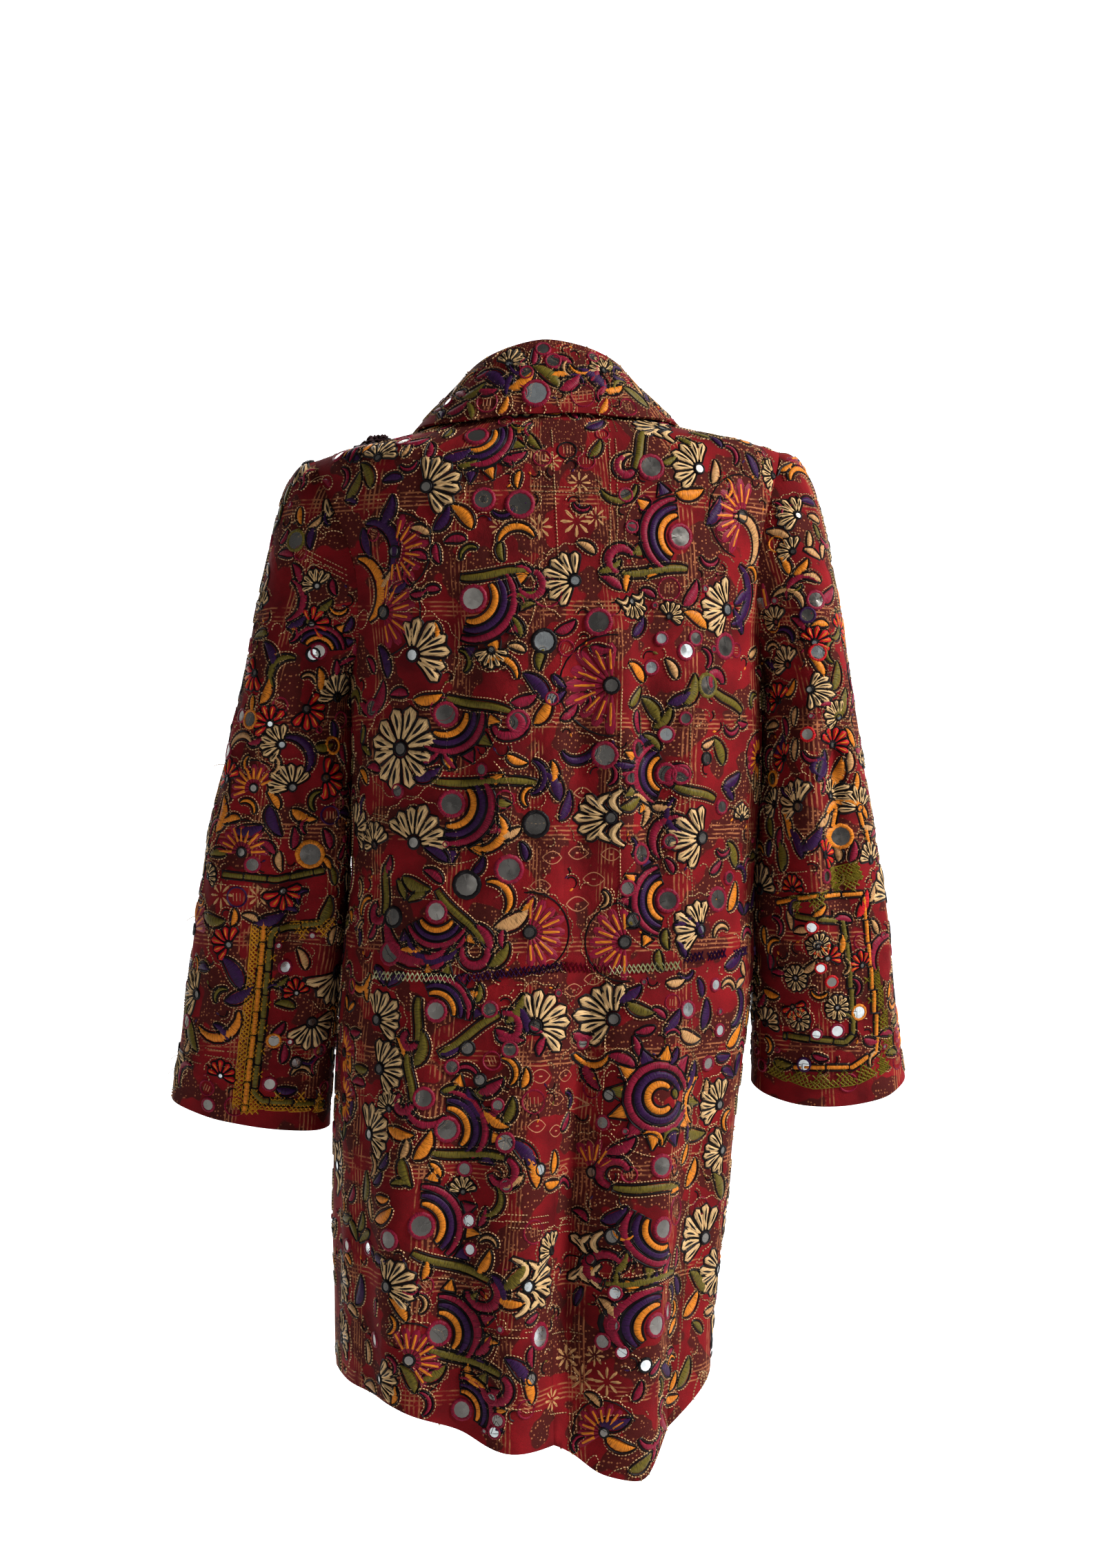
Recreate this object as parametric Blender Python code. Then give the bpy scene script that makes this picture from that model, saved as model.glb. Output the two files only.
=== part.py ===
"""Knee-length embroidered coat in its worn form, built from its cut.

Metres, +Z up. The origin is the middle of the neck base, where the shoulders carry the coat.
+Y is the coat's back and +X the wearer's left. Every cloth piece is a closed wall: an outer sheet
of points on the coat's form and an inner sheet one cloth thickness inside it.
"""

import math

import bmesh
import bpy
import numpy as np

WALL = 0.0022  # two layers of cotton with the stitching through both
SEAM = 0.0005  # gap between two pieces at a seam
STEP = 1e-4  # step for the slopes of the form

TIP_HEIGHT = -0.036  # shoulder tip, top of the armhole
NECK_SIDE_HEIGHT = -0.004  # where the shoulder seam meets the neck
NECK_BACK_HEIGHT = 0.008
ARMHOLE_HEIGHT = 0.179
ARMHOLE_MIDDLE = TIP_HEIGHT - ARMHOLE_HEIGHT / 2
ARMHOLE_BACK = 27.0  # degrees of the section that the armhole cuts away at the back
ARMHOLE_FRONT = 30.0
CORNER_HEIGHT = -0.195  # where the side panel's seams reach the armhole
BREAK_HEIGHT = -0.33  # lower end of the lapels
LAP = 0.019  # how far each front passes the middle
UNDERLAP = 0.0036  # how far the left front lies inside the right one
SHOULDER_LEAN = 0.022  # the wearer's left shoulder hangs lower
CENTRE_SEAM = 89.0
BREAK_ANGLE = 270.0

# The coat's level sections. A squareness of 2 is an ellipse.
# Columns: height, centre, half_width, back, front, turn, squareness.
SECTIONS = (
    (0.022, 0.003, 0.065, 0.061, 0.042, 0.0, 2.2),
    (0.008, 0.003, 0.069, 0.065, 0.046, 0.0, 2.2),
    (-0.004, 0.003, 0.075, 0.074, 0.053, 0.0, 2.2),
    (-0.0185, 0.002, 0.115, 0.086, 0.062, 0.0, 2.2),
    (-0.0290, 0.001, 0.164, 0.094, 0.073, 0.5, 2.2),
    (-0.036, 0.001, 0.198, 0.100, 0.082, 1.0, 2.2),
    (-0.056, 0.000, 0.200, 0.107, 0.092, 1.5, 2.2),
    (-0.100, -0.002, 0.194, 0.116, 0.107, 2.8, 2.2),
    (-0.150, -0.004, 0.182, 0.122, 0.122, 4.2, 2.25),
    (-0.215, -0.006, 0.171, 0.124, 0.132, 5.5, 2.35),
    (-0.300, -0.006, 0.169, 0.121, 0.134, 7.0, 2.45),
    (-0.400, -0.003, 0.166, 0.117, 0.129, 8.0, 2.5),
    (-0.466, 0.000, 0.172, 0.119, 0.129, 9.0, 2.5),
    (-0.550, 0.007, 0.173, 0.123, 0.131, 10.5, 2.5),
    (-0.650, 0.015, 0.168, 0.127, 0.133, 13.0, 2.5),
    (-0.750, 0.021, 0.159, 0.131, 0.135, 15.0, 2.5),
    (-0.880, 0.024, 0.151, 0.134, 0.137, 16.0, 2.5),
)

# Angles run from the wearer's left (0) by the back (90) to the right (180) and the front (270).
# Depths are metres at the hem; a fold grows from nothing at its start height.
# Columns: angle, lean, half_spread, depth, start.
FOLDS = (
    (80.0, 4.0, 7.0, 0.007, -0.30),
    (92.5, 0.0, 5.5, -0.013, -0.24),
    (107.0, -3.0, 9.0, 0.011, -0.40),
    (127.0, 0.0, 6.0, -0.006, -0.50),
    (63.0, 0.0, 7.0, -0.006, -0.52),
    (44.0, 0.0, 9.0, 0.006, -0.50),
    (20.0, 0.0, 7.0, -0.007, -0.54),
    (152.0, 0.0, 9.0, 0.006, -0.52),
    (200.0, 0.0, 8.0, -0.007, -0.50),
    (222.0, 0.0, 10.0, 0.006, -0.45),
    (243.0, 0.0, 7.0, -0.006, -0.52),
    (338.0, 0.0, 9.0, 0.006, -0.50),
    (317.0, 0.0, 8.0, -0.006, -0.46),
    (297.0, 0.0, 9.0, 0.006, -0.50),
)

# Columns: angle, height.
WAIST = (
    (-90.0, -0.462),
    (0.0, -0.470),
    (30.0, -0.474),
    (70.0, -0.472),
    (92.0, -0.463),
    (120.0, -0.463),
    (170.0, -0.457),
    (270.0, -0.462),
)
# Columns: angle, height.
HEM = (
    (-90.0, -0.823),
    (-45.0, -0.816),
    (0.0, -0.811),
    (12.0, -0.810),
    (33.0, -0.812),
    (47.0, -0.820),
    (63.0, -0.832),
    (77.0, -0.847),
    (84.0, -0.846),
    (90.0, -0.846),
    (96.0, -0.868),
    (102.0, -0.873),
    (110.0, -0.877),
    (119.0, -0.851),
    (128.0, -0.838),
    (139.0, -0.828),
    (153.0, -0.807),
    (180.0, -0.802),
    (225.0, -0.813),
    (270.0, -0.823),
)

# Seams beside the back and beside the side panels, as angles at the armhole, waist and hem.
LEFT_BACK_SEAM = (17.2, 32.0, 33.0)
RIGHT_BACK_SEAM = (162.8, 122.5, 124.0)
LEFT_SIDE_SEAM = (-19.1, -16.0, -14.0)
RIGHT_SIDE_SEAM = (199.1, 196.0, 196.0)

# Sleeve sections below the armpit, placed by their middle.
# Columns: height, across, along, half_width, half_depth.
LEFT_SLEEVE = (
    (-0.245, 0.2178, 0.000, 0.0483, 0.0590),
    (-0.333, 0.2280, 0.004, 0.0570, 0.0555),
    (-0.420, 0.2383, -0.001, 0.0618, 0.0530),
    (-0.494, 0.2465, -0.010, 0.0645, 0.0515),
    (-0.550, 0.2525, -0.019, 0.0670, 0.0505),
    (-0.598, 0.2590, -0.027, 0.0700, 0.0500),
)
RIGHT_SLEEVE = (
    (-0.245, -0.2228, 0.000, 0.0375, 0.0640),
    (-0.314, -0.2280, 0.003, 0.0425, 0.0630),
    (-0.375, -0.2315, 0.001, 0.0478, 0.0610),
    (-0.440, -0.2352, -0.006, 0.0538, 0.0590),
    (-0.500, -0.2375, -0.015, 0.0598, 0.0565),
    (-0.568, -0.2415, -0.026, 0.0672, 0.0540),
)
# Cuff edge: rise on the outer side, and how much lower the back lies.
LEFT_CUFF = (0.013, 0.006)
RIGHT_CUFF = (0.003, 0.020)

# Sleeve folds: angle round the sleeve (0 outside, 90 back, 180 towards the body).
# Columns: angle, lean, half_spread, depth, top, bottom.
LEFT_SLEEVE_FOLDS = (
    (96.0, 12.0, 13.0, -0.009, -0.26, -0.56),
    (128.0, 8.0, 20.0, 0.005, -0.22, -0.58),
    (48.0, 6.0, 20.0, 0.004, -0.30, -0.60),
    (262.0, 10.0, 16.0, -0.006, -0.28, -0.56),
)
RIGHT_SLEEVE_FOLDS = (
    (72.0, 10.0, 13.0, -0.008, -0.20, -0.50),
    (106.0, 6.0, 20.0, 0.004, -0.22, -0.52),
    (38.0, 4.0, 16.0, 0.003, -0.30, -0.56),
    (276.0, 8.0, 16.0, -0.006, -0.26, -0.52),
)

BODY_COLUMNS = 8
UPPER_ROWS = 8
YOKE_ROWS = 10
SKIRT_ROWS = 12
UNDERARM_COLUMNS = 5
CAP_SHARES = (0.0, 0.07, 0.18, 0.34, 0.52, 0.70, 0.86, 1.0)  # of the way from the armhole seam
SLEEVE_ROWS = 9  # below the cap

COLLAR_HALF_COLUMNS = 14
# The stand, from the centre back (0) round to the gorge (1): how far it rises to the roll.
# Columns: share, rise, lean.
STAND = (
    (0.00, 0.0435, -0.0030),
    (0.25, 0.0370, -0.0020),
    (0.45, 0.0300, -0.0030),
    (0.55, 0.0240, -0.0020),
    (0.70, 0.0140, 0.0000),
    (0.85, 0.0090, 0.0000),
    (1.00, 0.0075, 0.0000),
)
# Where the fall's outer edge lies on the yoke, seen from above.
# Columns: share, across, along.
FALL_EDGE = (
    (0.00, 0.0000, 0.0840),
    (0.25, 0.0550, 0.0780),
    (0.45, 0.0905, 0.0575),
    (0.60, 0.1090, 0.0220),
    (0.80, 0.1145, -0.0230),
    (1.00, 0.1110, -0.0620),
)
COLLAR_END_HEIGHT = -0.046
ROLL_WIDTH = 0.0080  # across the fold at the collar's top
FALL_LIFT = 0.0046  # of the fall's outer face over the yoke
FALL_BULGE = 0.0036

# Lapels: width from the roll line, and height over the front.
# Columns: height, reach, lift.
LAPEL = (
    (-0.055, 0.0730, 0.0018),
    (-0.075, 0.0800, 0.0022),
    (-0.100, 0.0790, 0.0024),
    (-0.140, 0.0720, 0.0024),
    (-0.200, 0.0540, 0.0020),
    (-0.260, 0.0320, 0.0014),
    (-0.318, 0.0090, 0.0008),
)
LAPEL_ROWS = 10
LAPEL_WIDTH_COLUMNS = 4
LAPEL_INSET = 0.0015
LAPEL_SEAT = 0.0030  # of the lapel's outer face over the front at the roll
LAPEL_SLOPE = 0.012  # how much the lapel's top edge drops outwards
LEFT_LAPEL_END = -0.284  # the right front covers the left lapel below this
LAPEL_CLEARANCE = 0.004  # of the left lapel beside the right front's edge

BUTTON_HEIGHTS = (-0.352, -0.432)
BUTTON_RADIUS = 0.0125
BUTTON_THICKNESS = 0.0032
BUTTON_SEAT = 0.0004  # air under a button

ROSETTE_PLACE = (0.147, -0.016)  # across and along, on the wearer's left shoulder
ROSETTE_RADIUS = 0.019
ROSETTE_HEIGHT = 0.010
# Shares of the radius and the height.
ROSETTE_RINGS = ((1.0, 0.0), (1.04, 0.22), (0.72, 0.70), (0.34, 1.0))
ROSETTE_PETALS = 9

MADDER = (0.36, 0.045, 0.04)
PLUM = (0.10, 0.012, 0.02)
HORN = (0.06, 0.03, 0.02)


def slopes_of(keys, values):
    """Slopes for a curve through a table's rows that doesn't overshoot between them."""
    secants = np.diff(values, axis=0) / np.diff(keys)[:, None]
    before, after = secants[:-1], secants[1:]
    same_way = before * after > 0
    total = np.where(same_way, before + after, 1.0)
    slopes = np.empty_like(values)
    slopes[0] = secants[0]
    slopes[-1] = secants[-1]
    slopes[1:-1] = np.where(same_way, 2 * before * after / total, 0.0)
    return slopes


def read_table(table, at):
    """A table's columns after the first, read at any values of the first column."""
    rows = np.array(sorted(table))
    keys, values = rows[:, 0], rows[:, 1:]
    slopes = slopes_of(keys, values)
    at = np.clip(np.asarray(at, float), keys[0], keys[-1])
    row = np.clip(np.searchsorted(keys, at, side="right") - 1, 0, len(keys) - 2)
    span = (keys[row + 1] - keys[row])[..., None]
    t = (at - keys[row])[..., None] / span
    value = (
        (1 + 2 * t) * (1 - t) ** 2 * values[row]
        + t * (1 - t) ** 2 * span * slopes[row]
        + t * t * (3 - 2 * t) * values[row + 1]
        - t * t * (1 - t) * span * slopes[row + 1]
    )
    return np.moveaxis(value, -1, 0)


def ease(share):
    """A smooth step from 0 to 1."""
    share = np.clip(share, 0.0, 1.0)
    return share * share * (3 - 2 * share)


def turn_between(first, second):
    """The angle from second to first, in degrees, the short way round."""
    return (first - second + 180.0) % 360.0 - 180.0


def round_from(angle):
    """An angle in degrees brought between -90 and 270, which the waist and hem tables cover."""
    return (np.asarray(angle, float) + 90.0) % 360.0 - 90.0


def waist_height(angle):
    return read_table(WAIST, round_from(angle))[0]


def hem_height(angle):
    return read_table(HEM, round_from(angle))[0]


def fold_depth(angle, height):
    """How far the skirt's folds move the form outwards."""
    depth = np.zeros(np.broadcast(angle, height).shape)
    lowest = min(row[1] for row in HEM)
    for middle, lean, spread, at_hem, start in FOLDS:
        grown = ease((start - height) / (start - lowest))
        off = turn_between(angle, middle + lean * (1 - grown)) / spread
        depth = depth + at_hem * grown * np.exp(-off * off)
    return depth


def body_form(angle, height):
    """Points of the coat's outside, for angles in degrees and heights."""
    angle = np.asarray(angle, float)
    height = np.asarray(height, float)
    centre, half_width, back, front, turn, squareness = read_table(SECTIONS, height)
    cos, sin = np.cos(np.radians(angle)), np.sin(np.radians(angle))
    depth = np.where(sin >= 0, back, front)
    power = 2.0 / squareness
    across = half_width * np.sign(cos) * np.abs(cos) ** power
    along = depth * np.sign(sin) * np.abs(sin) ** power
    fold = fold_depth(angle, height)
    out_x, out_y = cos * depth, sin * half_width
    size = np.hypot(out_x, out_y)
    across = across + fold * out_x / size
    along = along + fold * out_y / size
    turn = np.radians(turn)
    x = centre + across * np.cos(turn) - along * np.sin(turn)
    y = across * np.sin(turn) + along * np.cos(turn)
    z = height - SHOULDER_LEAN * x * ease((height + 0.35) / 0.25)
    return np.stack(np.broadcast_arrays(x, y, z), axis=-1)


def unit(vectors):
    return vectors / np.linalg.norm(vectors, axis=-1, keepdims=True)


def body_normals(angle, height):
    """Outward directions of the coat's outside."""
    round_way = body_form(angle + 0.2, height) - body_form(angle - 0.2, height)
    up_way = body_form(angle, height + STEP) - body_form(angle, height - STEP)
    return unit(np.cross(round_way, up_way))


def angle_at(across, height, is_back):
    """The angle whose point of the plain section lies this far across."""
    half_width, squareness = read_table(SECTIONS, height)[[1, 5]]
    share = np.clip(across / half_width, -1.0, 1.0)
    cos = np.sign(share) * np.abs(share) ** (squareness / 2.0)
    angle = np.degrees(np.arccos(cos))
    return angle if is_back else -angle


def shoulder_height(across):
    """Height of the shoulder line at a distance from the middle."""
    heights = np.linspace(NECK_SIDE_HEIGHT, TIP_HEIGHT, 60)
    widths = read_table(SECTIONS, heights)[1]
    return np.interp(np.abs(across), widths, heights)


def neckline_height(across, neck_width):
    rise = NECK_BACK_HEIGHT - NECK_SIDE_HEIGHT
    return NECK_SIDE_HEIGHT + rise * (1 - (across / neck_width) ** 2)


def armhole_turn(height):
    """Angle round the armhole, in degrees from its top, at a height."""
    return np.degrees(np.arccos(np.clip((height - ARMHOLE_MIDDLE) * 2 / ARMHOLE_HEIGHT, -1, 1)))


def armhole_at(turn):
    """The armhole's (angle, height) on the left side; turns over 180 are its front half."""
    turn = np.radians(np.asarray(turn, float))
    sin = np.sin(turn)
    angle = np.where(sin >= 0, ARMHOLE_BACK, ARMHOLE_FRONT) * sin
    return angle, ARMHOLE_MIDDLE + ARMHOLE_HEIGHT / 2 * np.cos(turn)


def yoke_heights(top, rows):
    """Row heights from the side panel's corner up to a top edge, closer together near the top."""
    share = np.linspace(1.0, 0.0, rows + 1)[:, None]
    return top - (top - CORNER_HEIGHT) * share**2


def side_angle(seam, height):
    """A lengthwise seam's angle at heights above the waist."""
    armhole, waist, _ = seam
    return waist + (armhole - waist) * ease((height + 0.46) / (0.46 + CORNER_HEIGHT))


def left_of(angle, is_left):
    """An angle of the left side, or its mirror on the right."""
    return angle if is_left else 180.0 - angle


def yoke_grid(is_left, is_back, inner_across, top_across, top_height, columns):
    """Angles and heights from the corner row up to the shoulder, inner edge to armhole."""
    share = np.linspace(0.0, 1.0, columns + 1)[None, :]
    heights = yoke_heights(top_height, YOKE_ROWS)
    edge_heights = yoke_heights(np.array([TIP_HEIGHT]), YOKE_ROWS)
    edge_turn = armhole_turn(edge_heights)
    edge_angle, _ = armhole_at(edge_turn if is_back else 360.0 - edge_turn)
    half_width, squareness = read_table(SECTIONS, edge_heights)[[1, 5]]
    edge_across = half_width * np.cos(np.radians(edge_angle)) ** (2.0 / squareness)
    across = inner_across + (edge_across - inner_across) * share
    across[-1] = top_across
    angle = angle_at(across, heights, is_back)
    angle[:, -1] = edge_angle[:, 0]
    return left_of(angle, is_left), heights


def back_upper_grid(is_left):
    """Angles and heights of half the back, from the waist to the neck and shoulder."""
    columns = BODY_COLUMNS
    neck_width = read_table(SECTIONS, NECK_SIDE_HEIGHT)[1]
    tip_width = read_table(SECTIONS, TIP_HEIGHT)[1]
    top_across = np.linspace(0.0, tip_width, columns + 1)
    nearest = int(np.argmin(np.abs(top_across - neck_width)))
    top_across[: nearest + 1] = np.linspace(0.0, neck_width, nearest + 1)
    top_across[nearest:] = np.linspace(neck_width, tip_width, columns + 1 - nearest)
    on_neck = top_across < neck_width
    top_height = np.where(on_neck, neckline_height(top_across, neck_width), shoulder_height(top_across))
    inner = np.zeros((YOKE_ROWS + 1, 1))
    angle, height = yoke_grid(is_left, True, inner, top_across, top_height, columns)
    # The centre seam wanders a degree from the middle line and returns to it at the neck.
    middle = np.exp(-((angle - 90.0) / 40.0) ** 2) * (CENTRE_SEAM - 90.0)
    angle = angle + middle * ease((NECK_SIDE_HEIGHT - height) / 0.1)
    seam = LEFT_BACK_SEAM if is_left else RIGHT_BACK_SEAM
    low_angle, low_height = waist_block(angle[0], seam, columns)
    return np.vstack([low_angle[:-1], angle]), np.vstack([low_height[:-1], height])


def waist_block(corner_angles, seam, columns):
    """Rows from the waist up to the corner row, for a panel that starts at the centre seam."""
    share = np.linspace(0.0, 1.0, columns + 1)
    start = corner_angles[0]
    low = start + (seam[1] - start) * share
    rows = np.linspace(0.0, 1.0, UPPER_ROWS + 1)[:, None]
    angle = low + (corner_angles - low) * ease(rows)
    low_height = waist_height(low)
    height = low_height + (CORNER_HEIGHT - low_height) * rows
    angle[:, -1] = side_angle(seam, height[:, -1])
    angle[-1] = corner_angles
    return angle, height


def roll_across(height):
    """How far from the middle the lapel's roll line and the front edge lie; own side positive."""
    neck_width = read_table(SECTIONS, NECK_SIDE_HEIGHT)[1]
    share = np.clip((NECK_SIDE_HEIGHT - height) / (NECK_SIDE_HEIGHT - BREAK_HEIGHT), 0.0, 1.0)
    return neck_width + (-LAP - neck_width) * share


def front_upper_grid(is_left):
    """Angles and heights of one front above the waist, from its edge to the side seam."""
    columns = BODY_COLUMNS
    neck_width = read_table(SECTIONS, NECK_SIDE_HEIGHT)[1]
    tip_width = read_table(SECTIONS, TIP_HEIGHT)[1]
    top_across = np.linspace(neck_width, tip_width, columns + 1)
    top_height = shoulder_height(top_across)
    inner_heights = yoke_heights(np.array([NECK_SIDE_HEIGHT]), YOKE_ROWS)
    inner = roll_across(inner_heights)
    angle, height = yoke_grid(is_left, False, inner, top_across, top_height, columns)
    seam = LEFT_SIDE_SEAM if is_left else RIGHT_SIDE_SEAM
    share = np.linspace(0.0, 1.0, columns + 1)
    waist = waist_height(270.0)
    below = (CORNER_HEIGHT - BREAK_HEIGHT) / (CORNER_HEIGHT - waist)
    break_row = round(UPPER_ROWS * (1 - below))
    rows = np.concatenate(
        [np.linspace(0, 1 - below, break_row + 1), np.linspace(1 - below, 1, UPPER_ROWS - break_row + 1)[1:]]
    )[:, None]
    low_height = waist + (CORNER_HEIGHT - waist) * rows
    edge = left_of(angle_at(roll_across(low_height), low_height, False), is_left)
    side = side_angle(seam, low_height)
    spacing = (angle[0] - angle[0, 0]) / (angle[0, -1] - angle[0, 0])
    spread = share + (spacing - share) * ease(rows)
    low_angle = edge + (side - edge) * spread
    heights = waist_height(low_angle)
    heights = heights + (CORNER_HEIGHT - heights) * rows
    low_angle[-1] = angle[0]
    return np.vstack([low_angle[:-1], angle]), np.vstack([heights[:-1], height])


def side_upper_grid(is_left):
    """Angles and heights of the side panel from the waist up to the armhole's lower edge."""
    back_seam = LEFT_BACK_SEAM if is_left else RIGHT_BACK_SEAM
    side_seam = LEFT_SIDE_SEAM if is_left else RIGHT_SIDE_SEAM
    corner = float(armhole_turn(CORNER_HEIGHT))
    top_angle, top_height = armhole_at(np.linspace(corner, 360.0 - corner, UNDERARM_COLUMNS + 1))
    top_angle = left_of(top_angle, is_left)
    rows = np.linspace(0.0, 1.0, UPPER_ROWS + 1)[:, None]
    spacing = (top_angle - top_angle[0]) / (top_angle[-1] - top_angle[0])
    low_angle = back_seam[1] + (side_seam[1] - back_seam[1]) * spacing
    low_height = waist_height(low_angle)
    height = low_height + (top_height - low_height) * rows
    first = side_angle(back_seam, height[:, :1])
    last = side_angle(side_seam, height[:, -1:])
    angle = first + (last - first) * spacing
    angle[-1] = top_angle
    return angle, height


def skirt_grid(low_start, low_end, columns):
    """Angles and heights of a panel below the waist, from one seam to another."""
    share = np.linspace(0.0, 1.0, columns + 1)
    rows = np.linspace(1.0, 0.0, SKIRT_ROWS + 1)[:, None]
    start = low_start[0] + (low_start[1] - low_start[0]) * rows
    end = low_end[0] + (low_end[1] - low_end[0]) * rows
    angle = start + (end - start) * share
    top, bottom = waist_height(angle), hem_height(angle)
    return angle, bottom + (top - bottom) * (1 - rows)


def front_edge_angle(is_left, height):
    across = -LAP
    return float(left_of(angle_at(np.array(across), np.array(height), False), is_left))


def pull_in(points, amount, round_closed=False):
    """Draws a sheet's edges in by part of a seam's gap."""
    points = points.copy()
    source = points.copy()
    points[0] += amount * unit(source[1] - source[0])
    points[-1] += amount * unit(source[-2] - source[-1])
    if not round_closed:
        points[:, 0] += amount * unit(source[:, 1] - source[:, 0])
        points[:, -1] += amount * unit(source[:, -2] - source[:, -1])
    return points


def cloth_material(name, colour, roughness):
    material = bpy.data.materials.new(name)
    material.use_nodes = True
    shader = material.node_tree.nodes["Principled BSDF"]
    shader.inputs["Base Color"].default_value = (*colour, 1.0)
    shader.inputs["Roughness"].default_value = roughness
    shader.inputs["Metallic"].default_value = 0.0
    return material


def add_mesh(name, bm, material):
    bmesh.ops.recalc_face_normals(bm, faces=bm.faces)
    if bm.calc_volume(signed=True) < 0:
        bmesh.ops.reverse_faces(bm, faces=bm.faces)
    mesh = bpy.data.meshes.new(name)
    bm.to_mesh(mesh)
    bm.free()
    mesh.shade_smooth()
    mesh.set_sharp_from_angle(angle=math.radians(40))
    mesh.materials.append(material)
    obj = bpy.data.objects.new(name, mesh)
    bpy.context.scene.collection.objects.link(obj)
    return obj


def add_wall(name, points, normals, material, thickness=WALL, round_closed=False):
    """A closed cloth wall between a sheet of points and its copy one thickness inside."""
    rows, columns = points.shape[:2]
    bm = bmesh.new()
    outer = [[bm.verts.new(point) for point in row] for row in points]
    inner = [[bm.verts.new(point) for point in row] for row in points - normals * thickness]
    spans = columns if round_closed else columns - 1
    for row in range(rows - 1):
        for column in range(spans):
            right = (column + 1) % columns
            for sheet in (outer, inner):
                low, high = sheet[row], sheet[row + 1]
                bm.faces.new((low[column], low[right], high[right], high[column]))
    for row in (0, rows - 1):
        for column in range(spans):
            right = (column + 1) % columns
            bm.faces.new((outer[row][column], outer[row][right], inner[row][right], inner[row][column]))
    if not round_closed:
        for column in (0, columns - 1):
            for row in range(rows - 1):
                bm.faces.new(
                    (outer[row][column], outer[row + 1][column], inner[row + 1][column], inner[row][column])
                )
    bmesh.ops.triangulate(bm, faces=bm.faces)
    return add_mesh(name, bm, material)


def lap_offset(angle, height):
    """The left front lies inside the right one where they cross at the middle."""
    half_width, squareness = read_table(SECTIONS, height)[[1, 5]]
    cos = np.abs(np.cos(np.radians(angle)))
    across = half_width * cos ** (2.0 / squareness)
    return -UNDERLAP * ease((0.050 - across) / 0.022)


def add_panel(name, angle, height, material, is_under=False):
    """One body panel from its grid of angles and heights."""
    points = body_form(angle, height)
    normals = body_normals(angle, height)
    if is_under:
        points = points + normals * lap_offset(angle, height)[..., None]
    return add_wall(name, pull_in(points, SEAM / 2), normals, material)


def build_body(material):
    """The back, side and front panels, above and below the waist seam."""
    for side, is_left in (("left", True), ("right", False)):
        back_seam = LEFT_BACK_SEAM if is_left else RIGHT_BACK_SEAM
        side_seam = LEFT_SIDE_SEAM if is_left else RIGHT_SIDE_SEAM
        centre = (CENTRE_SEAM, CENTRE_SEAM)
        edge = front_edge_angle(is_left, -0.5)
        if not is_left:
            edge %= 360.0
        add_panel(f"back_upper_{side}", *back_upper_grid(is_left), material)
        add_panel(f"side_upper_{side}", *side_upper_grid(is_left), material)
        add_panel(f"front_upper_{side}", *front_upper_grid(is_left), material, is_left)
        add_panel(f"back_lower_{side}", *skirt_grid(centre, back_seam[1:], BODY_COLUMNS + 1), material)
        add_panel(f"side_lower_{side}", *skirt_grid(back_seam[1:], side_seam[1:], UNDERARM_COLUMNS), material)
        front = skirt_grid((edge, edge), side_seam[1:], BODY_COLUMNS)
        add_panel(f"front_lower_{side}", *front, material, is_left)


def sleeve_turns():
    """Angles round the armhole of the body panels' own edge points, so that the seam matches."""
    edge = armhole_turn(yoke_heights(np.array([TIP_HEIGHT]), YOKE_ROWS))[:, 0]
    back = edge[::-1]
    under = np.linspace(back[-1], 360.0 - back[-1], UNDERARM_COLUMNS + 1)
    return np.concatenate([back[:-1], under, 360.0 - edge[1:-1]])


def sleeve_fold_depth(turn, height, folds):
    depth = np.zeros(np.broadcast(turn, height).shape)
    for middle, lean, spread, most, top, bottom in folds:
        share = (top - height) / (top - bottom)
        grown = ease(share * 3) * ease((1 - share) * 3)
        off = turn_between(turn, middle + lean * (share - 0.5)) / spread
        depth = depth + most * grown * np.exp(-off * off)
    return depth


def sleeve_rings(is_left):
    """Rings of a sleeve's outside, from the armhole down to the cuff."""
    turns = sleeve_turns()
    side = 1.0 if is_left else -1.0
    table = LEFT_SLEEVE if is_left else RIGHT_SLEEVE
    rise, drop = LEFT_CUFF if is_left else RIGHT_CUFF
    folds = LEFT_SLEEVE_FOLDS if is_left else RIGHT_SLEEVE_FOLDS
    angle, height = armhole_at(turns)
    start = body_form(left_of(angle, is_left), height)
    start_normals = body_normals(left_of(angle, is_left), height)
    around = unit(np.roll(start, -1, axis=0) - np.roll(start, 1, axis=0))
    into_hole = unit(np.cross(around, start_normals))
    middle = start.mean(axis=0)
    inward = (into_hole * (middle - start)).sum(axis=1) < 0
    into_hole[inward] *= -1
    radians = np.radians(turns)
    cos, sin = np.cos(radians), np.sin(radians)
    high = (1 + cos) / 2

    def level(at):
        across, along, half_width, half_depth = read_table(table, at)
        fold = sleeve_fold_depth(turns, at, folds)
        x = across + side * (half_width + fold) * cos
        y = along + (half_depth + fold) * sin
        return np.stack(np.broadcast_arrays(x, y, at), axis=-1)

    top = table[0][0]
    end = level(np.full_like(turns, top))
    below = level(np.full_like(turns, top - 0.02))
    down = unit(below - end)
    away = unit(np.stack([np.full_like(turns, side), 0.3 * sin, 0.10 + 0.14 * high], axis=-1))
    first = start + into_hole * (SEAM * 0.6)
    near = first + away * (0.006 + 0.026 * high)[:, None]
    far = end - down * (0.008 + 0.140 * high)[:, None]
    rings = []
    for t in CAP_SHARES:
        path = (1 - t) ** 3 * first + 3 * t * (1 - t) ** 2 * near + 3 * t * t * (1 - t) * far + t**3 * end
        rings.append(path)
    bottom = table[-1][0]
    edge = bottom + rise * cos - drop * np.clip(sin, 0, 1)
    for share in np.linspace(0.0, 1.0, SLEEVE_ROWS + 1)[1:]:
        heights = top + (edge - top) * share
        ring = level(np.clip(heights, bottom, top))
        ring[:, 2] = heights
        rings.append(ring)
    return np.array(rings), into_hole


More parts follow.
